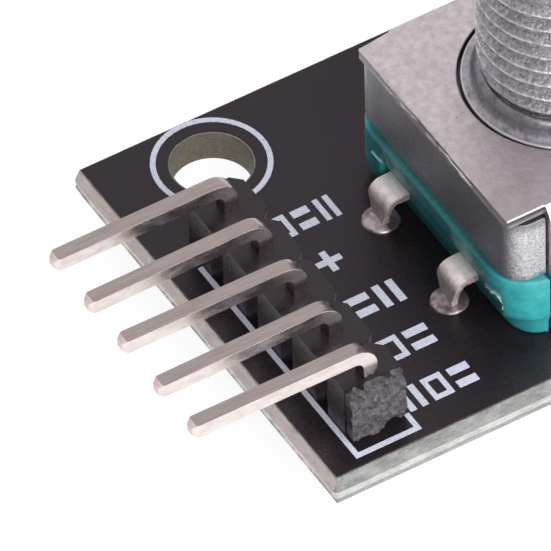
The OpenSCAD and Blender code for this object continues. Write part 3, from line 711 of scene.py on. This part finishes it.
board_lo, board_hi = mm_box("circuit_board")
mask_lo, mask_hi = mm_box("solder_mask")
Z_BOARD = mask_hi.z
MASK_IN = 0.05                   # the coating stops this far short of the board's edge
X_END, Y_FRONT = mask_lo.x - MASK_IN, mask_lo.y - MASK_IN
X_FAR, Y_BACK = mask_hi.x + MASK_IN, mask_hi.y + MASK_IN
fixing = next(m for m in frame["record"]["mounts"] if m["name"] == "fixing_holes")
hole_mid = Vector(fixing["pos_m"]) / MM
HOLE_R = fixing["dims"]["hole_r_mm"]
half_gap = fixing["dims"]["spacing_x_mm"] / 2
HOLES = [(hole_mid.x - half_gap, hole_mid.y), (hole_mid.x + half_gap, hole_mid.y)]
pin_boxes = [mm_box(f"header_pin_{i}") for i in range(1, 6)]
PIN_Y = [(lo.y + hi.y) / 2 for lo, hi in pin_boxes]
PIN_TOP, TIP_X = pin_boxes[0][1].z, pin_boxes[0][0].x
PIN_X = pin_boxes[0][1].x - (pin_boxes[0][1].y - pin_boxes[0][0].y) / 2
SWITCH_X = mm_box("switch_terminal_1")[0].x + 0.15
SIGNAL_X = mm_box("terminal_a")[1].x - 0.15
ENCODER_LEADS = [(SWITCH_X, y) for y in (-2.5, 2.5)] + [(SIGNAL_X, y) for y in (-2.5, 0, 2.5)]
LEADS = [(PIN_X, y) for y in PIN_Y] + ENCODER_LEADS
house_lo, house_hi = mm_box("bushing_housing")
base_lo, base_hi = mm_box("terminal_base")
SHEET = 0.5                      # thickness of the bracket
LEAD_HOLE_R, LAND_R = 0.5, 0.78
LUG_Y, LUG_W = 6.6, 2.3


# ---- board ----
def slot_outline(sign, grow):
    """A lug slot, clockwise."""
    w, h = LUG_W / 2 + grow, 0.45 + grow
    y = sign * LUG_Y
    return [(-w, y - h), (-w, y + h), (w, y + h), (w, y - h)]


def board_outline(inset):
    l, w = X_FAR - X_END - 2 * inset, Y_BACK - Y_FRONT - 2 * inset
    cx, cy = (X_FAR + X_END) / 2, (Y_BACK + Y_FRONT) / 2
    return [(x + cx, y + cy) for x, y in rounded_rect(l, w, 0.06, 5)]


def make_board(m):
    """The laminate with its scored and snapped edges, and the coating on both faces."""
    z0, z1 = board_lo.z, board_hi.z
    top, low = Z_BOARD - 0.64, Z_BOARD - 0.95      # the broken web between the two V grooves
    edge = [(z0, 0.05, 0), (z0 + 0.04, 0.04, 0.01), (low - 0.28, -0.02, 0.03),
            (low - 0.05, -0.15, 0.03), (low, -0.19, 0.04), (low + 0.06, -0.175, 0.08),
            (low + 0.13, -0.175, 0.09), (low + 0.20, -0.175, 0.07), (top, -0.19, 0.04),
            (top + 0.06, -0.165, 0.03), (top + 0.2, -0.12, 0.03), (top + 0.35, -0.075, 0.03),
            (top + 0.5, -0.03, 0.03), (z1 - 0.03, 0.0, 0.02), (z1, 0.02, 0.015)]

    def edge_finish(z):
        # the bevel under the score takes the darker copy, painted shade; the web and the upper
        # bevel keep their own finishes
        return 3 if z < low - 0.02 else 2 if z < top + 0.02 else 0

    slab = Slab()
    slab.loop(resample(board_outline(0), 0.13), edge, material=edge_finish, seed=3.0, per_mm=2.2)
    bore = [(z0 + (z1 - z0) * k / 6, 0, 0.02) for k in range(1, 6)]
    bore = [(z0, 0.03, 0), (z0 + 0.04, 0, 0)] + bore + [(z1 - 0.04, 0, 0), (z1, 0.03, 0)]
    for x, y in HOLES:
        slab.loop(circle_points(x, y, HOLE_R, 96), bore, material=1, seed=1.0)
    for x, y in LEADS:
        slab.loop(circle_points(x, y, LEAD_HOLE_R, 32), [(z0, 0, 0), (z1, 0, 0)])
    for side in (-1, 1):
        slab.loop(slot_outline(side, 0), [(z0, 0, 0), (z1, 0, 0)])
    finishes = [m["laminate"], m["bare_bore"], m["torn_web"], m["scored_under_painted_shade"]]
    slab.close().finish("board_laminate", finishes, "laminate", ["circuit_board"], sharp=50)

    film = Slab()
    for low, high, inset in ((mask_lo.z, board_lo.z, 0.22), (board_hi.z, mask_hi.z, 0.045)):
        ragged = [(low, 0.0, 0.035), ((low + high) / 2, 0.0, 0.04), (high, 0.015, 0.035)]
        film.loop(resample(board_outline(inset), 0.10), ragged, seed=7.0, per_mm=2.6)
        for x, y in HOLES:
            film.loop(circle_points(x, y, HOLE_R + 0.075, 96),
                      [(low, 0, 0.02), (high, 0.01, 0.02)], seed=2.0)
        for x, y in LEADS:
            film.loop(circle_points(x, y, LAND_R, 32), [(low, 0, 0), (high, 0, 0)])
        for side in (-1, 1):
            film.loop(slot_outline(side, 0.42), [(low, 0, 0), (high, 0, 0)])
        film.close()
    film.finish("mask_film", [m["mask"]], "mask", ["solder_mask"])


# ---- header ----
def make_header(m):
    """Five moulded blocks in a row; the front one was snapped off its neighbour."""
    lo, hi = mm_box("header_strip")
    snapped = PIN_Y[0] - 0.42
    bm = cad_copy("header_strip")
    rim = [g for g in cut_across(bm, snapped, -1, clear=True)
           if isinstance(g, bmesh.types.BMEdge)]
    bmesh.ops.triangle_fill(bm, edges=rim, use_beauty=True, normal=(0, -1, 0))

    def outer_edge(e):
        """Along the top, or upright, and clear of the pins and of the break."""
        a, b = (v.co for v in e.verts)
        on_top = min(a.z, b.z) > hi.z - 0.01
        return (min(a.y, b.y) > snapped + 0.02 and (on_top or abs(a.z - b.z) > 1.5)
                and max(abs(a.x - PIN_X), abs(b.x - PIN_X)) > 0.5)

    round_edges(bm, 0.05, 2, 30, outer_edge)
    link(bm, "header_strip_blocks", [m["header_plastic"]], ["header_strip"])

    # the torn end: a block whose front is pulled into ragged relief
    x0, x1 = lo.x + 0.03, hi.x - 0.03
    z0, z1 = lo.z + 0.02, hi.z - 0.004
    n = 52
    bm = bmesh.new()

    def torn_point(u, v):
        """A point of the broken face, u from 0 to 1 along X and v up Z."""
        x, z = x0 + (x1 - x0) * u, z0 + (z1 - z0) * v
        rim = min(u, 1 - u, v, 1 - v)
        tear = (0.10 * wobble(x, 0, z, 2.2, 5) + 0.07 * wobble(x, 1, z, 5.5, 9)
                + 0.05 * wobble(x, 2, z, 11, 4))
        lip = 0.07 * math.exp(-((rim / 0.05) ** 2)) * wobble(x, 3, z, 4.5, 2)
        bite = 0.26 * math.exp(-(((u - 0.80) / 0.22) ** 4)) * math.exp(-((v / 0.13) ** 4))
        crest = max(0, (v - 0.66) / 0.34) ** 2 * (
            0.30 + 0.14 * u + 0.55 * wobble(x, 4, z, 4.2, 8))
        y = PIN_Y[0] - 0.84 - 0.05 * (1 - v) + tear + lip + bite + crest
        shift = 0.05 * wobble(x, 7, z, 3.0, 1)
        if u in (0, 1):
            shift = 0.6 * abs(shift) * (1 if u == 0 else -1)
        rise = 0.05 * wobble(x, 9, z, 3.4, 6)
        if v in (0, 1):
            rise = -0.10 * v * abs(wobble(x, 11, z, 5.0, 6))
        return x + shift, min(y, snapped - 0.01), z + rise

    grid = [[bm.verts.new(torn_point(i / n, j / n)) for i in range(n + 1)] for j in range(n + 1)]
    for low, high in zip(grid, grid[1:]):
        for corners in zip(low, low[1:], high[1:], high):
            bm.faces.new(corners)
    rim = grid[0] + [r[-1] for r in grid[1:]] + grid[-1][-2::-1] + [r[0] for r in grid[-2:0:-1]]
    back = [bm.verts.new((v.co.x, snapped + 0.02, v.co.z)) for v in rim]
    bands(bm, [back, rim], 1)
    bm.faces.new(back).material_index = 1
    link(bm, "header_strip_torn_end", [m["broken_plastic"], m["header_plastic"]],
         [], sharp=60)


def make_pins(m):
    """Square wires, each a little out of line with the next."""
    skew = [(0.02, 0.0), (-0.02, 0.02), (0.03, -0.01), (-0.01, 0.03), (0.0, 0.0)]
    for i, (dy, dz) in enumerate(skew, 1):
        bm = cad_copy(f"header_pin_{i}")
        round_edges(bm, 0.04, 2, 20)
        for v in bm.verts:
            out = max(0.0, (PIN_X - 0.8 - v.co.x) / 7)
            v.co.y += dy * out * 2
            v.co.z -= dz * out
        link(bm, f"pin_{i}_wire", [m["pin_metal"]], [f"header_pin_{i}"], sharp=40)


# ---- terminal base and leads ----
LEG_HALF, LEG_IN = 4.5, 5.38     # the slots that take the bracket's legs


def slotted_outline(l, w, r, slot_y):
    """A rounded rectangle with a slot in each long side for a leg of the bracket."""
    out = []
    for x, y in resample(rounded_rect(l, w, r, 12), 0.12):
        if abs(x) < LEG_HALF and abs(y) > slot_y:
            continue
        out.append((x, y))
    # put the slot walls back, between the neighbours on each side
    closed = []
    for i, p in enumerate(out):
        closed.append(p)
        q = out[(i + 1) % len(out)]
        if math.dist(p, q) > 2:
            s, up = (1 if p[0] < q[0] else -1), (1 if p[1] > 0 else -1)
            closed += [(-s * LEG_HALF, p[1]), (-s * LEG_HALF, up * slot_y),
                       (s * LEG_HALF, up * slot_y), (s * LEG_HALF, q[1])]
    return resample(closed, 0.12)


def make_base(m):
    """The moulded base: a flange on a narrower waist, with full posts at its corners."""
    lo, hi = base_lo, base_hi
    floor = Z_BOARD + 0.03
    flange = hi.z - 0.85
    foot, post = Z_BOARD + 1.2, Z_BOARD + 0.85
    corner = hi.x - 1.85

    def step(value, at, width=0.035):
        return 1 / (1 + math.exp(-max(-60, min(60, (value - at) / width))))

    def waist(z, extra=0.0):
        """How far the side stands back at a height: a foot all round, then a waist with full
        posts at both ends."""
        def inset(x, y):
            side = min(1, max(0, (abs(x) - corner) / 1.85)) ** 2
            at_foot = 0.05 + 0.58 * side
            between = step(y, -4.86 + 0.05 * wobble(x, y, 0, 3)) * step(-y, -3.55)
            above = (0.28 + 0.30 * step(foot - z, 0, 0.02)) * between if abs(x) > 5.7 else 0.0
            low = step(post - z, 0, 0.03)
            return max(at_foot * low, above) + extra
        return inset

    levels = [(floor, waist(floor, 0.08), 0), (floor + 0.04, waist(floor, 0.03), 0),
              (floor + 0.12, waist(floor, 0.01), 0.01)]
    heights = [floor + 0.3, post - 0.15, post - 0.04, post + 0.03, post + 0.12, foot - 0.06,
               foot, foot + 0.06, foot + 0.3, flange - 0.12, flange - 0.03]
    levels += [(z, waist(z), 0.012) for z in heights]
    levels += [(flange, lambda x, y: waist(flange)(x, y) * 0.8, 0),
               (flange + 0.01, lambda x, y: 0.05 if waist(flange)(x, y) > 0.1 else 0.0, 0),
               (flange + 0.06, 0.0, 0.01), (flange + 0.4, 0.0, 0.012), (hi.z - 0.12, 0.0, 0.012),
               (hi.z - 0.05, 0.02, 0.01), (hi.z - 0.015, 0.06, 0.01), (hi.z, 0.11, 0)]
    slab = Slab()
    slab.loop(slotted_outline(hi.x - lo.x, hi.y - lo.y, 1.85, LEG_IN), levels, seed=11, per_mm=2)
    slab.loop(circle_points(0, 0, 2.6, 64), [(floor, 0, 0), (hi.z, 0, 0)])
    slab.close().finish("terminal_base_moulding", [m["teal_plastic"]], "teal_plastic",
                        ["terminal_base"], sharp=55)

    # flash: thin ragged fins where the mould halves met
    fin(m, "flash_post", [(-5.98, -3.70, -5.00), (-5.98, -4.10, -4.80), (-5.96, -4.45, -4.68),
                          (-5.90, -4.82, -4.72), (-5.80, -4.97, -5.08), (-5.80, -4.96, -5.60)],
        0.34, 3)
    fin(m, "flash_back", [(-6.20, 4.15, -4.47), (-6.20, 3.72, -4.47), (-6.20, 3.31, -4.47)],
        0.22, 5, 0.15)


def fin(m, name, path, reach, seed, rag=1.0):
    """A thin ragged sheet of plastic that stands out towards -X along a path."""
    path = [Vector(p) for p in path]
    bm = bmesh.new()
    rows = []
    n = 8 * (len(path) - 1)
    for i in range(n + 1):
        k = min(i // 8, len(path) - 2)
        t = i / 8 - k
        p = path[k].lerp(path[k + 1], t)
        along = path[k + 1] - path[k]
        across = along.cross(Vector((1, 0, 0))).normalized() * 0.02
        ragged = reach * (0.72 + 0.30 * rag * wobble(p.x, p.y, p.z, 2.4, seed)
                          + 0.25 * rag * wobble(p.x, p.y, p.z, 8, seed))
        ragged *= min(1, 0.3 + 4 * i / n, 0.3 + 4 * (1 - i / n))
        wave = across * 2.0 * rag * wobble(p.x, p.y, p.z, 2.0, seed + 3)
        root = p + Vector((0.08, 0, 0))
        tip = p + wave - Vector((max(0.02, ragged), 0, 0))
        rows.append([bm.verts.new(root - across), bm.verts.new(tip - across * 0.6),
                     bm.verts.new(tip + across * 0.6), bm.verts.new(root + across)])
    bands(bm, rows)
    bm.faces.new(rows[0])
    bm.faces.new(rows[-1][::-1])
    link(bm, name, [m["worn_teal"]], [], sharp=80)


def make_leads(m):
    """The five bent strips, softened and a little uneven outside the base."""
    for node in ("switch_terminal_1", "switch_terminal_2", "terminal_a", "terminal_common",
                 "terminal_b"):
        bm = cad_copy(node)
        round_edges(bm, 0.045, 2, 25, lambda e: all(abs(v.co.x) > 6.05 for v in e.verts))
        for v in bm.verts:
            if abs(v.co.x) > 6.05:
                v.co.y += 0.012 * wobble(*v.co, 1.8, 5)
        link(bm, node + "_strip", [m["lead_metal"]], [node])


def make_solder(m):
    """Fillets that wetted unevenly round each lead, and a bright collar where each one enters."""
    bm = cad_copy("solder_joints")
    for v in bm.verts:
        if v.co.z > Z_BOARD + 0.02:
            v.co.z = Z_BOARD + 0.02
        if v.co.z < board_lo.z - 0.1:
            v.co.z -= 0.12 * wobble(v.co.x, v.co.y, 0, 1.3, 6)
    link(bm, "solder_fillets", [m["solder"]], ["solder_joints"], sharp=60)

    bm = bmesh.new()
    profile = [(0.755, 0.01), (0.755, 0.045), (0.74, 0.085), (0.70, 0.12), (0.64, 0.145),
               (0.57, 0.16), (0.50, 0.172), (0.43, 0.19), (0.36, 0.22), (0.28, 0.27),
               (0.2, 0.32)]
    for x, y in ENCODER_LEADS:
        rings = []
        for r, h in profile:
            ring = []
            for px, py in arc_points(x, y, r, 0, 360, 48)[:-1]:
                lift = 1 + 0.32 * wobble(px, py, 0, 1.6, 4) + 0.10 * wobble(px, py, 0, 5, 8)
                ring.append(bm.verts.new((px, py, Z_BOARD + (h if h < 0.02 else h * lift))))
            rings.append(ring)
        bands(bm, rings)
        bm.faces.new(rings[0][::-1])
        bm.faces.new(rings[-1])
    link(bm, "solder_collars", [m["solder"]], ["solder_joints"], sharp=60)


# ---- housing and bushing ----
THREAD_PITCH, THREAD_DEPTH, CREST_R = 0.75, 0.34, 3.5
THREAD_PHASE = 0.71              # height of a crest on the +X side
THREAD_LOW = 0.63                # bottom of the groove between the boss and the thread
BOSS_R, BORE_R = 4.08, 2.34
CAVITY_R, CEILING = 4.75, Z_BOARD + 5.1


def make_housing(m):
    """The cast block with its corners rounded, slotted for the bracket's legs."""
    lo, hi = house_lo, Vector((house_hi.x, house_hi.y, -SHEET))
    levels = [(lo.z, 0.10, 0.01), (lo.z + 0.04, 0.03, 0.012), (lo.z + 0.12, 0.0, 0.014)]
    steps = 12
    for k in range(1, steps + 1):
        levels.append((lo.z + 0.12 + (hi.z - lo.z - 0.3) * k / steps, 0.0, 0.014))
    levels += [(hi.z - 0.10, 0.0, 0.012), (hi.z - 0.03, 0.02, 0.01), (hi.z, 0.05, 0)]
    slab = Slab()
    outline = slotted_outline(hi.x - lo.x, hi.y - lo.y, 1.0, LEG_IN - 0.3)
    slab.loop(outline, levels, seed=21, per_mm=3.0)
    step = BOSS_R - CAVITY_R
    slab.loop(circle_points(0, 0, CAVITY_R, 96), [(lo.z, 0, 0), (CEILING, 0, 0),
                                                  (CEILING + 0.001, step, 0), (hi.z, step, 0)])
    slab.close().finish("housing_block", [m["die_cast_zinc"]], "die_cast_zinc",
                        ["bushing_housing"], sharp=50)


def thread_radius(angle, z, top):
    """Radius of the cast thread; angle in turns. It fades in over its first turn."""
    phase = ((z - THREAD_PHASE) / THREAD_PITCH - angle) % 1.0
    d = min(phase, 1 - phase) * THREAD_PITCH
    depth = THREAD_DEPTH * min(1.0, max(0.0, (z - 0.74) / 0.5))
    fall = min(1.0, max(0.0, (d - 0.03) / 0.23))
    r = CREST_R - THREAD_DEPTH + depth * (1 - fall)
    return min(r, 3.02 + (top - z) * 1.2)


def make_bushing(m):
    """Boss, flare, undercut groove and a right-hand thread, in one piece with the bore."""
    n = 240
    top, root_r = house_hi.z, CREST_R - THREAD_DEPTH
    z_lo, z_hi = THREAD_LOW, top - 0.02
    bm = bmesh.new()

    def ring(radius, z, rough=0.0):
        """A circle of vertices; the radius may be a function of the turn from 0 to 1."""
        out = []
        for i in range(n):
            x, y = math.cos(2 * math.pi * i / n), math.sin(2 * math.pi * i / n)
            r = radius(i / n) if callable(radius) else radius
            r -= rough * (0.5 + 0.5 * wobble(x * r, y * r, z, 3.0, 2))
            out.append(bm.verts.new((x * r, y * r, z)))
        return out

    profile = [(BOSS_R, CEILING), (BOSS_R, -0.05), (4.075, -0.01), (4.05, 0.02), (4.01, 0.035),
               (3.94, 0.045), (3.83, 0.08), (3.73, 0.15), (3.65, 0.26), (3.58, 0.38),
               (3.52, 0.49), (3.46, 0.59), (3.40, 0.655), (3.345, 0.695), (3.30, 0.705),
               (3.265, 0.69), (3.25, 0.665), (3.245, z_lo), (root_r, z_lo)]
    rings = [ring(r, z, 0.012 if z > 0 and r > root_r else 0) for r, z in profile]
    bands(bm, rings, 1)

    # thread: columns of points that climb with the helix, squeezed flat at both ends
    per_turn = 14
    dz = THREAD_PITCH / per_turn
    rows = math.ceil((z_hi - z_lo) / dz) + 2 * per_turn
    columns = []
    for i in range(n):
        turn = i / n
        a = 2 * math.pi * turn
        column = []
        for j in range(rows + 1):
            z = min(z_hi, max(z_lo, z_lo + THREAD_PITCH * (turn - 1) + j * dz))
            r = thread_radius(turn, z, top)
            if z_lo < z < z_hi:
                x, y = r * math.cos(a), r * math.sin(a)
                r -= 0.022 * (0.5 + 0.5 * wobble(x, y, z, 2.6, 3)) + 0.016 * (
                    0.5 + 0.5 * wobble(x, y, z, 6.5, 5))
            column.append(bm.verts.new((r * math.cos(a), r * math.sin(a), z)))
        columns.append(column)
    for i in range(n):
        a, b = columns[i], columns[(i + 1) % n]
        lift = per_turn if i == n - 1 else 0
        for j in range(rows - lift):
            bm.faces.new((a[j], b[j + lift], b[j + lift + 1], a[j + 1]))
    crown = ring(lambda turn: thread_radius(turn, z_hi, top), z_hi)
    inner = [(2.97, top), (BORE_R + 0.28, top), (BORE_R, top - 0.28), (BORE_R, CEILING)]
    bands(bm, [crown] + [ring(r, z) for r, z in inner] + [rings[0]])
    bmesh.ops.remove_doubles(bm, verts=bm.verts, dist=2e-4)
    bmesh.ops.dissolve_degenerate(bm, edges=bm.edges, dist=1e-4)
    link(bm, "threaded_bushing", [m["cast_thread"], m["turned_zinc"]],
         ["bushing_housing"], sharp=60)


# ---- bracket ----
PLATE_X, PLATE_Y = 6.1, 5.47
FLAT_Y = 5.19                    # the seam between the plate and a leg
LEG_X = 4.4


def make_bracket(m):
    """The plate, drawn anew with its worn edges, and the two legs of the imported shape."""
    t = SHEET
    corner = [(-PLATE_X, PLATE_Y - 0.24), (-PLATE_X + 0.05, PLATE_Y - 0.19)]
    outline = [(-PLATE_X, -PLATE_Y + 0.02), (-PLATE_X + 0.02, -PLATE_Y),
               (-LEG_X, -PLATE_Y), (-LEG_X, -FLAT_Y), (LEG_X, -FLAT_Y), (LEG_X, -PLATE_Y),
               (PLATE_X - 0.05, -PLATE_Y), (PLATE_X, -PLATE_Y + 0.05),
               (PLATE_X, PLATE_Y - 0.05), (PLATE_X - 0.05, PLATE_Y),
               (LEG_X, PLATE_Y), (LEG_X, FLAT_Y), (-LEG_X, FLAT_Y),
               (-LEG_X, PLATE_Y)] + corner[::-1]

    def seam(x, y):
        return abs(y) > FLAT_Y - 0.002 and abs(x) < LEG_X + 0.001

    def worn(base, nick=0.0):
        """Sheared edge with a nick and a chewed stretch on the header side."""
        def inset(x, y):
            d = base
            if x < -6:
                torn = 1 / (1 + math.exp((y - 3.1) / 0.06)) / (1 + math.exp(-(y + 2.9) / 0.1))
                d *= 0.15 + 0.85 * torn
                d += nick * math.exp(-(((y - 3.2) / 0.10) ** 2))
                chewed = 1 / (1 + math.exp(-(y + 1.3) / 0.1)) / (1 + math.exp((y - 1.35) / 0.1))
                d += 0.05 * chewed * (0.5 + 0.5 * wobble(x, y, 0, 6, 3))
            return d
        return inset

    levels = [(-t, worn(0.05), 0.02), (-t + 0.03, worn(0.01), 0.02), (-t + 0.08, worn(0.0), 0.02),
              (-t + 0.14, worn(0.045), 0.04), (-t + 0.22, worn(0.06), 0.04),
              (-t + 0.30, worn(0.05), 0.04), (-t + 0.35, worn(0.01), 0.015),
              (-0.07, worn(0.0, 0.02), 0.008), (-0.03, worn(0.01, 0.08), 0.006),
              (-0.008, worn(0.03, 0.12), 0.004), (0.0, worn(0.07, 0.14), 0.004),
              (0.0, worn(0.10, 0.14), 0.004, 0.03)]
    slab = Slab()
    slab.loop(resample(outline, 0.09), levels, material=lambda z: 0 if z > -0.06 else 1,
              seed=31, per_mm=1.4, keep=seam)
    # the wall of the hole takes the darker finish, painted shade in the gap round the boss
    slab.loop(circle_points(-0.03, 0.045, 4.16, 120),
              [(-t, 0.0, 0.02), (-t + 0.2, 0.02, 0.03), (-t + 0.3, 0.0, 0.01), (-0.05, 0.0, 0.005),
               (-0.015, 0.015, 0), (0.0, 0.05, 0), (0.0, 0.08, 0)],
              material=lambda z: 0 if z > -0.04 else 2, seed=33)
    finishes = [m["bracket_steel"], m["sheared_steel"], m["pierced_steel_painted_shade"]]
    slab.close().finish("bracket_plate", finishes, "bracket_steel", ["mounting_bracket"], sharp=50)

    # the two legs, with their lugs and folded tabs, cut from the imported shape
    bm = cad_copy("mounting_bracket")
    for side in (-1, 1):
        cut_across(bm, side * FLAT_Y, side)
    gone = []
    for f in bm.faces:
        c = f.calc_center_median()
        if c.z > -0.62 and (abs(c.y) < FLAT_Y - 1e-3 or abs(c.x) > LEG_X + 1e-3):
            gone.append(f)
    bmesh.ops.delete(bm, geom=gone, context="FACES")
    open_edges = [e for e in bm.edges if len(e.link_faces) == 1]
    bmesh.ops.holes_fill(bm, edges=open_edges)
    round_edges(bm, 0.05, 2, 35, lambda e: all(abs(v.co.y) > FLAT_Y + 0.02 for v in e.verts)
                and e.calc_length() > 0.12)
    link(bm, "bracket_legs", [m["bracket_steel"]], ["mounting_bracket"], sharp=30)


# ---- shaft, marks and the rest ----
def make_shaft(m):
    """The turned shaft, with its edges above the bushing broken."""
    bm = cad_copy("shaft")
    round_edges(bm, 0.07, 2, 40, lambda e: all(v.co.z > 1 for v in e.verts)
                and e.calc_length() > 0.1)
    link(bm, "turned_shaft", [m["shaft_metal"]], ["shaft"], body="shaft", sharp=30)


def paint_cad(m):
    """Every CAD node gets the finish of its material slot."""
    for name, node in NODES.items():
        node.data.materials.clear()
        node.data.materials.append(m[SLOTS[name]].mat)


# ---- floor and light ----
def make_studio():
    mesh = bpy.data.meshes.new("floor")
    half = 0.6
    mesh.from_pydata([(-half, -half, 0), (half, -half, 0), (half, half, 0), (-half, half, 0)], [],
                     [(0, 1, 2, 3)])
    floor = bpy.data.objects.new("floor", mesh)
    floor.location.z = cad_box[0].z - 0.00001
    bpy.context.collection.objects.link(floor)
    paper = bpy.data.materials.new("floor_paper")
    paper.use_nodes = True
    shader = paper.node_tree.nodes["Principled BSDF"]
    for name, value in (("Base Color", (0.15, 0.15, 0.15, 1)), ("Roughness", 0.9),
                        ("Emission Color", (1, 1, 1, 1)), ("Emission Strength", 0.9)):
        shader.inputs[name].default_value = value
    mesh.materials.append(paper)

    # a pale room, dimmer on the header's side and brighter in front
    world = bpy.data.worlds.new("studio")
    world.use_nodes = True
    tree = world.node_tree
    where = add_node(tree, "TexCoord").outputs["Generated"]
    split = add_node(tree, "SeparateXYZ", {0: where}).outputs
    dim = smooth_step(tree, split["X"], -0.9, 0.1, 0.42, 0.78)
    lift = smooth_step(tree, split["Y"], -0.3, -0.95, 0.0, 0.6)
    background = tree.nodes["Background"]
    feed(tree, background.inputs["Color"], (1, 1, 1, 1))
    total = add_node(tree, "Math", {0: dim, 1: lift}, operation="ADD").outputs[0]
    feed(tree, background.inputs["Strength"], total)
    bpy.context.scene.world = world
    bpy.context.scene.view_settings.view_transform = "Standard"


def area_light(name, azimuth, elevation, distance, size, power):
    direction = heading(azimuth, elevation)
    data = bpy.data.lights.new(name, "AREA")
    data.size = size
    data.energy = power
    lamp = bpy.data.objects.new(name, data)
    lamp.location = direction * distance
    lamp.rotation_mode = "QUATERNION"
    lamp.rotation_quaternion = (-direction).to_track_quat("-Z", "Y")
    bpy.context.collection.objects.link(lamp)


make_camera()
make_studio()
area_light("key", 8, 26, 0.45, 0.50, 2.6)
materials = make_materials()
for make in (paint_cad, make_board, make_header, make_pins, make_base, make_leads, make_solder,
             make_housing, make_bushing, make_bracket, make_shaft):
    make(materials)
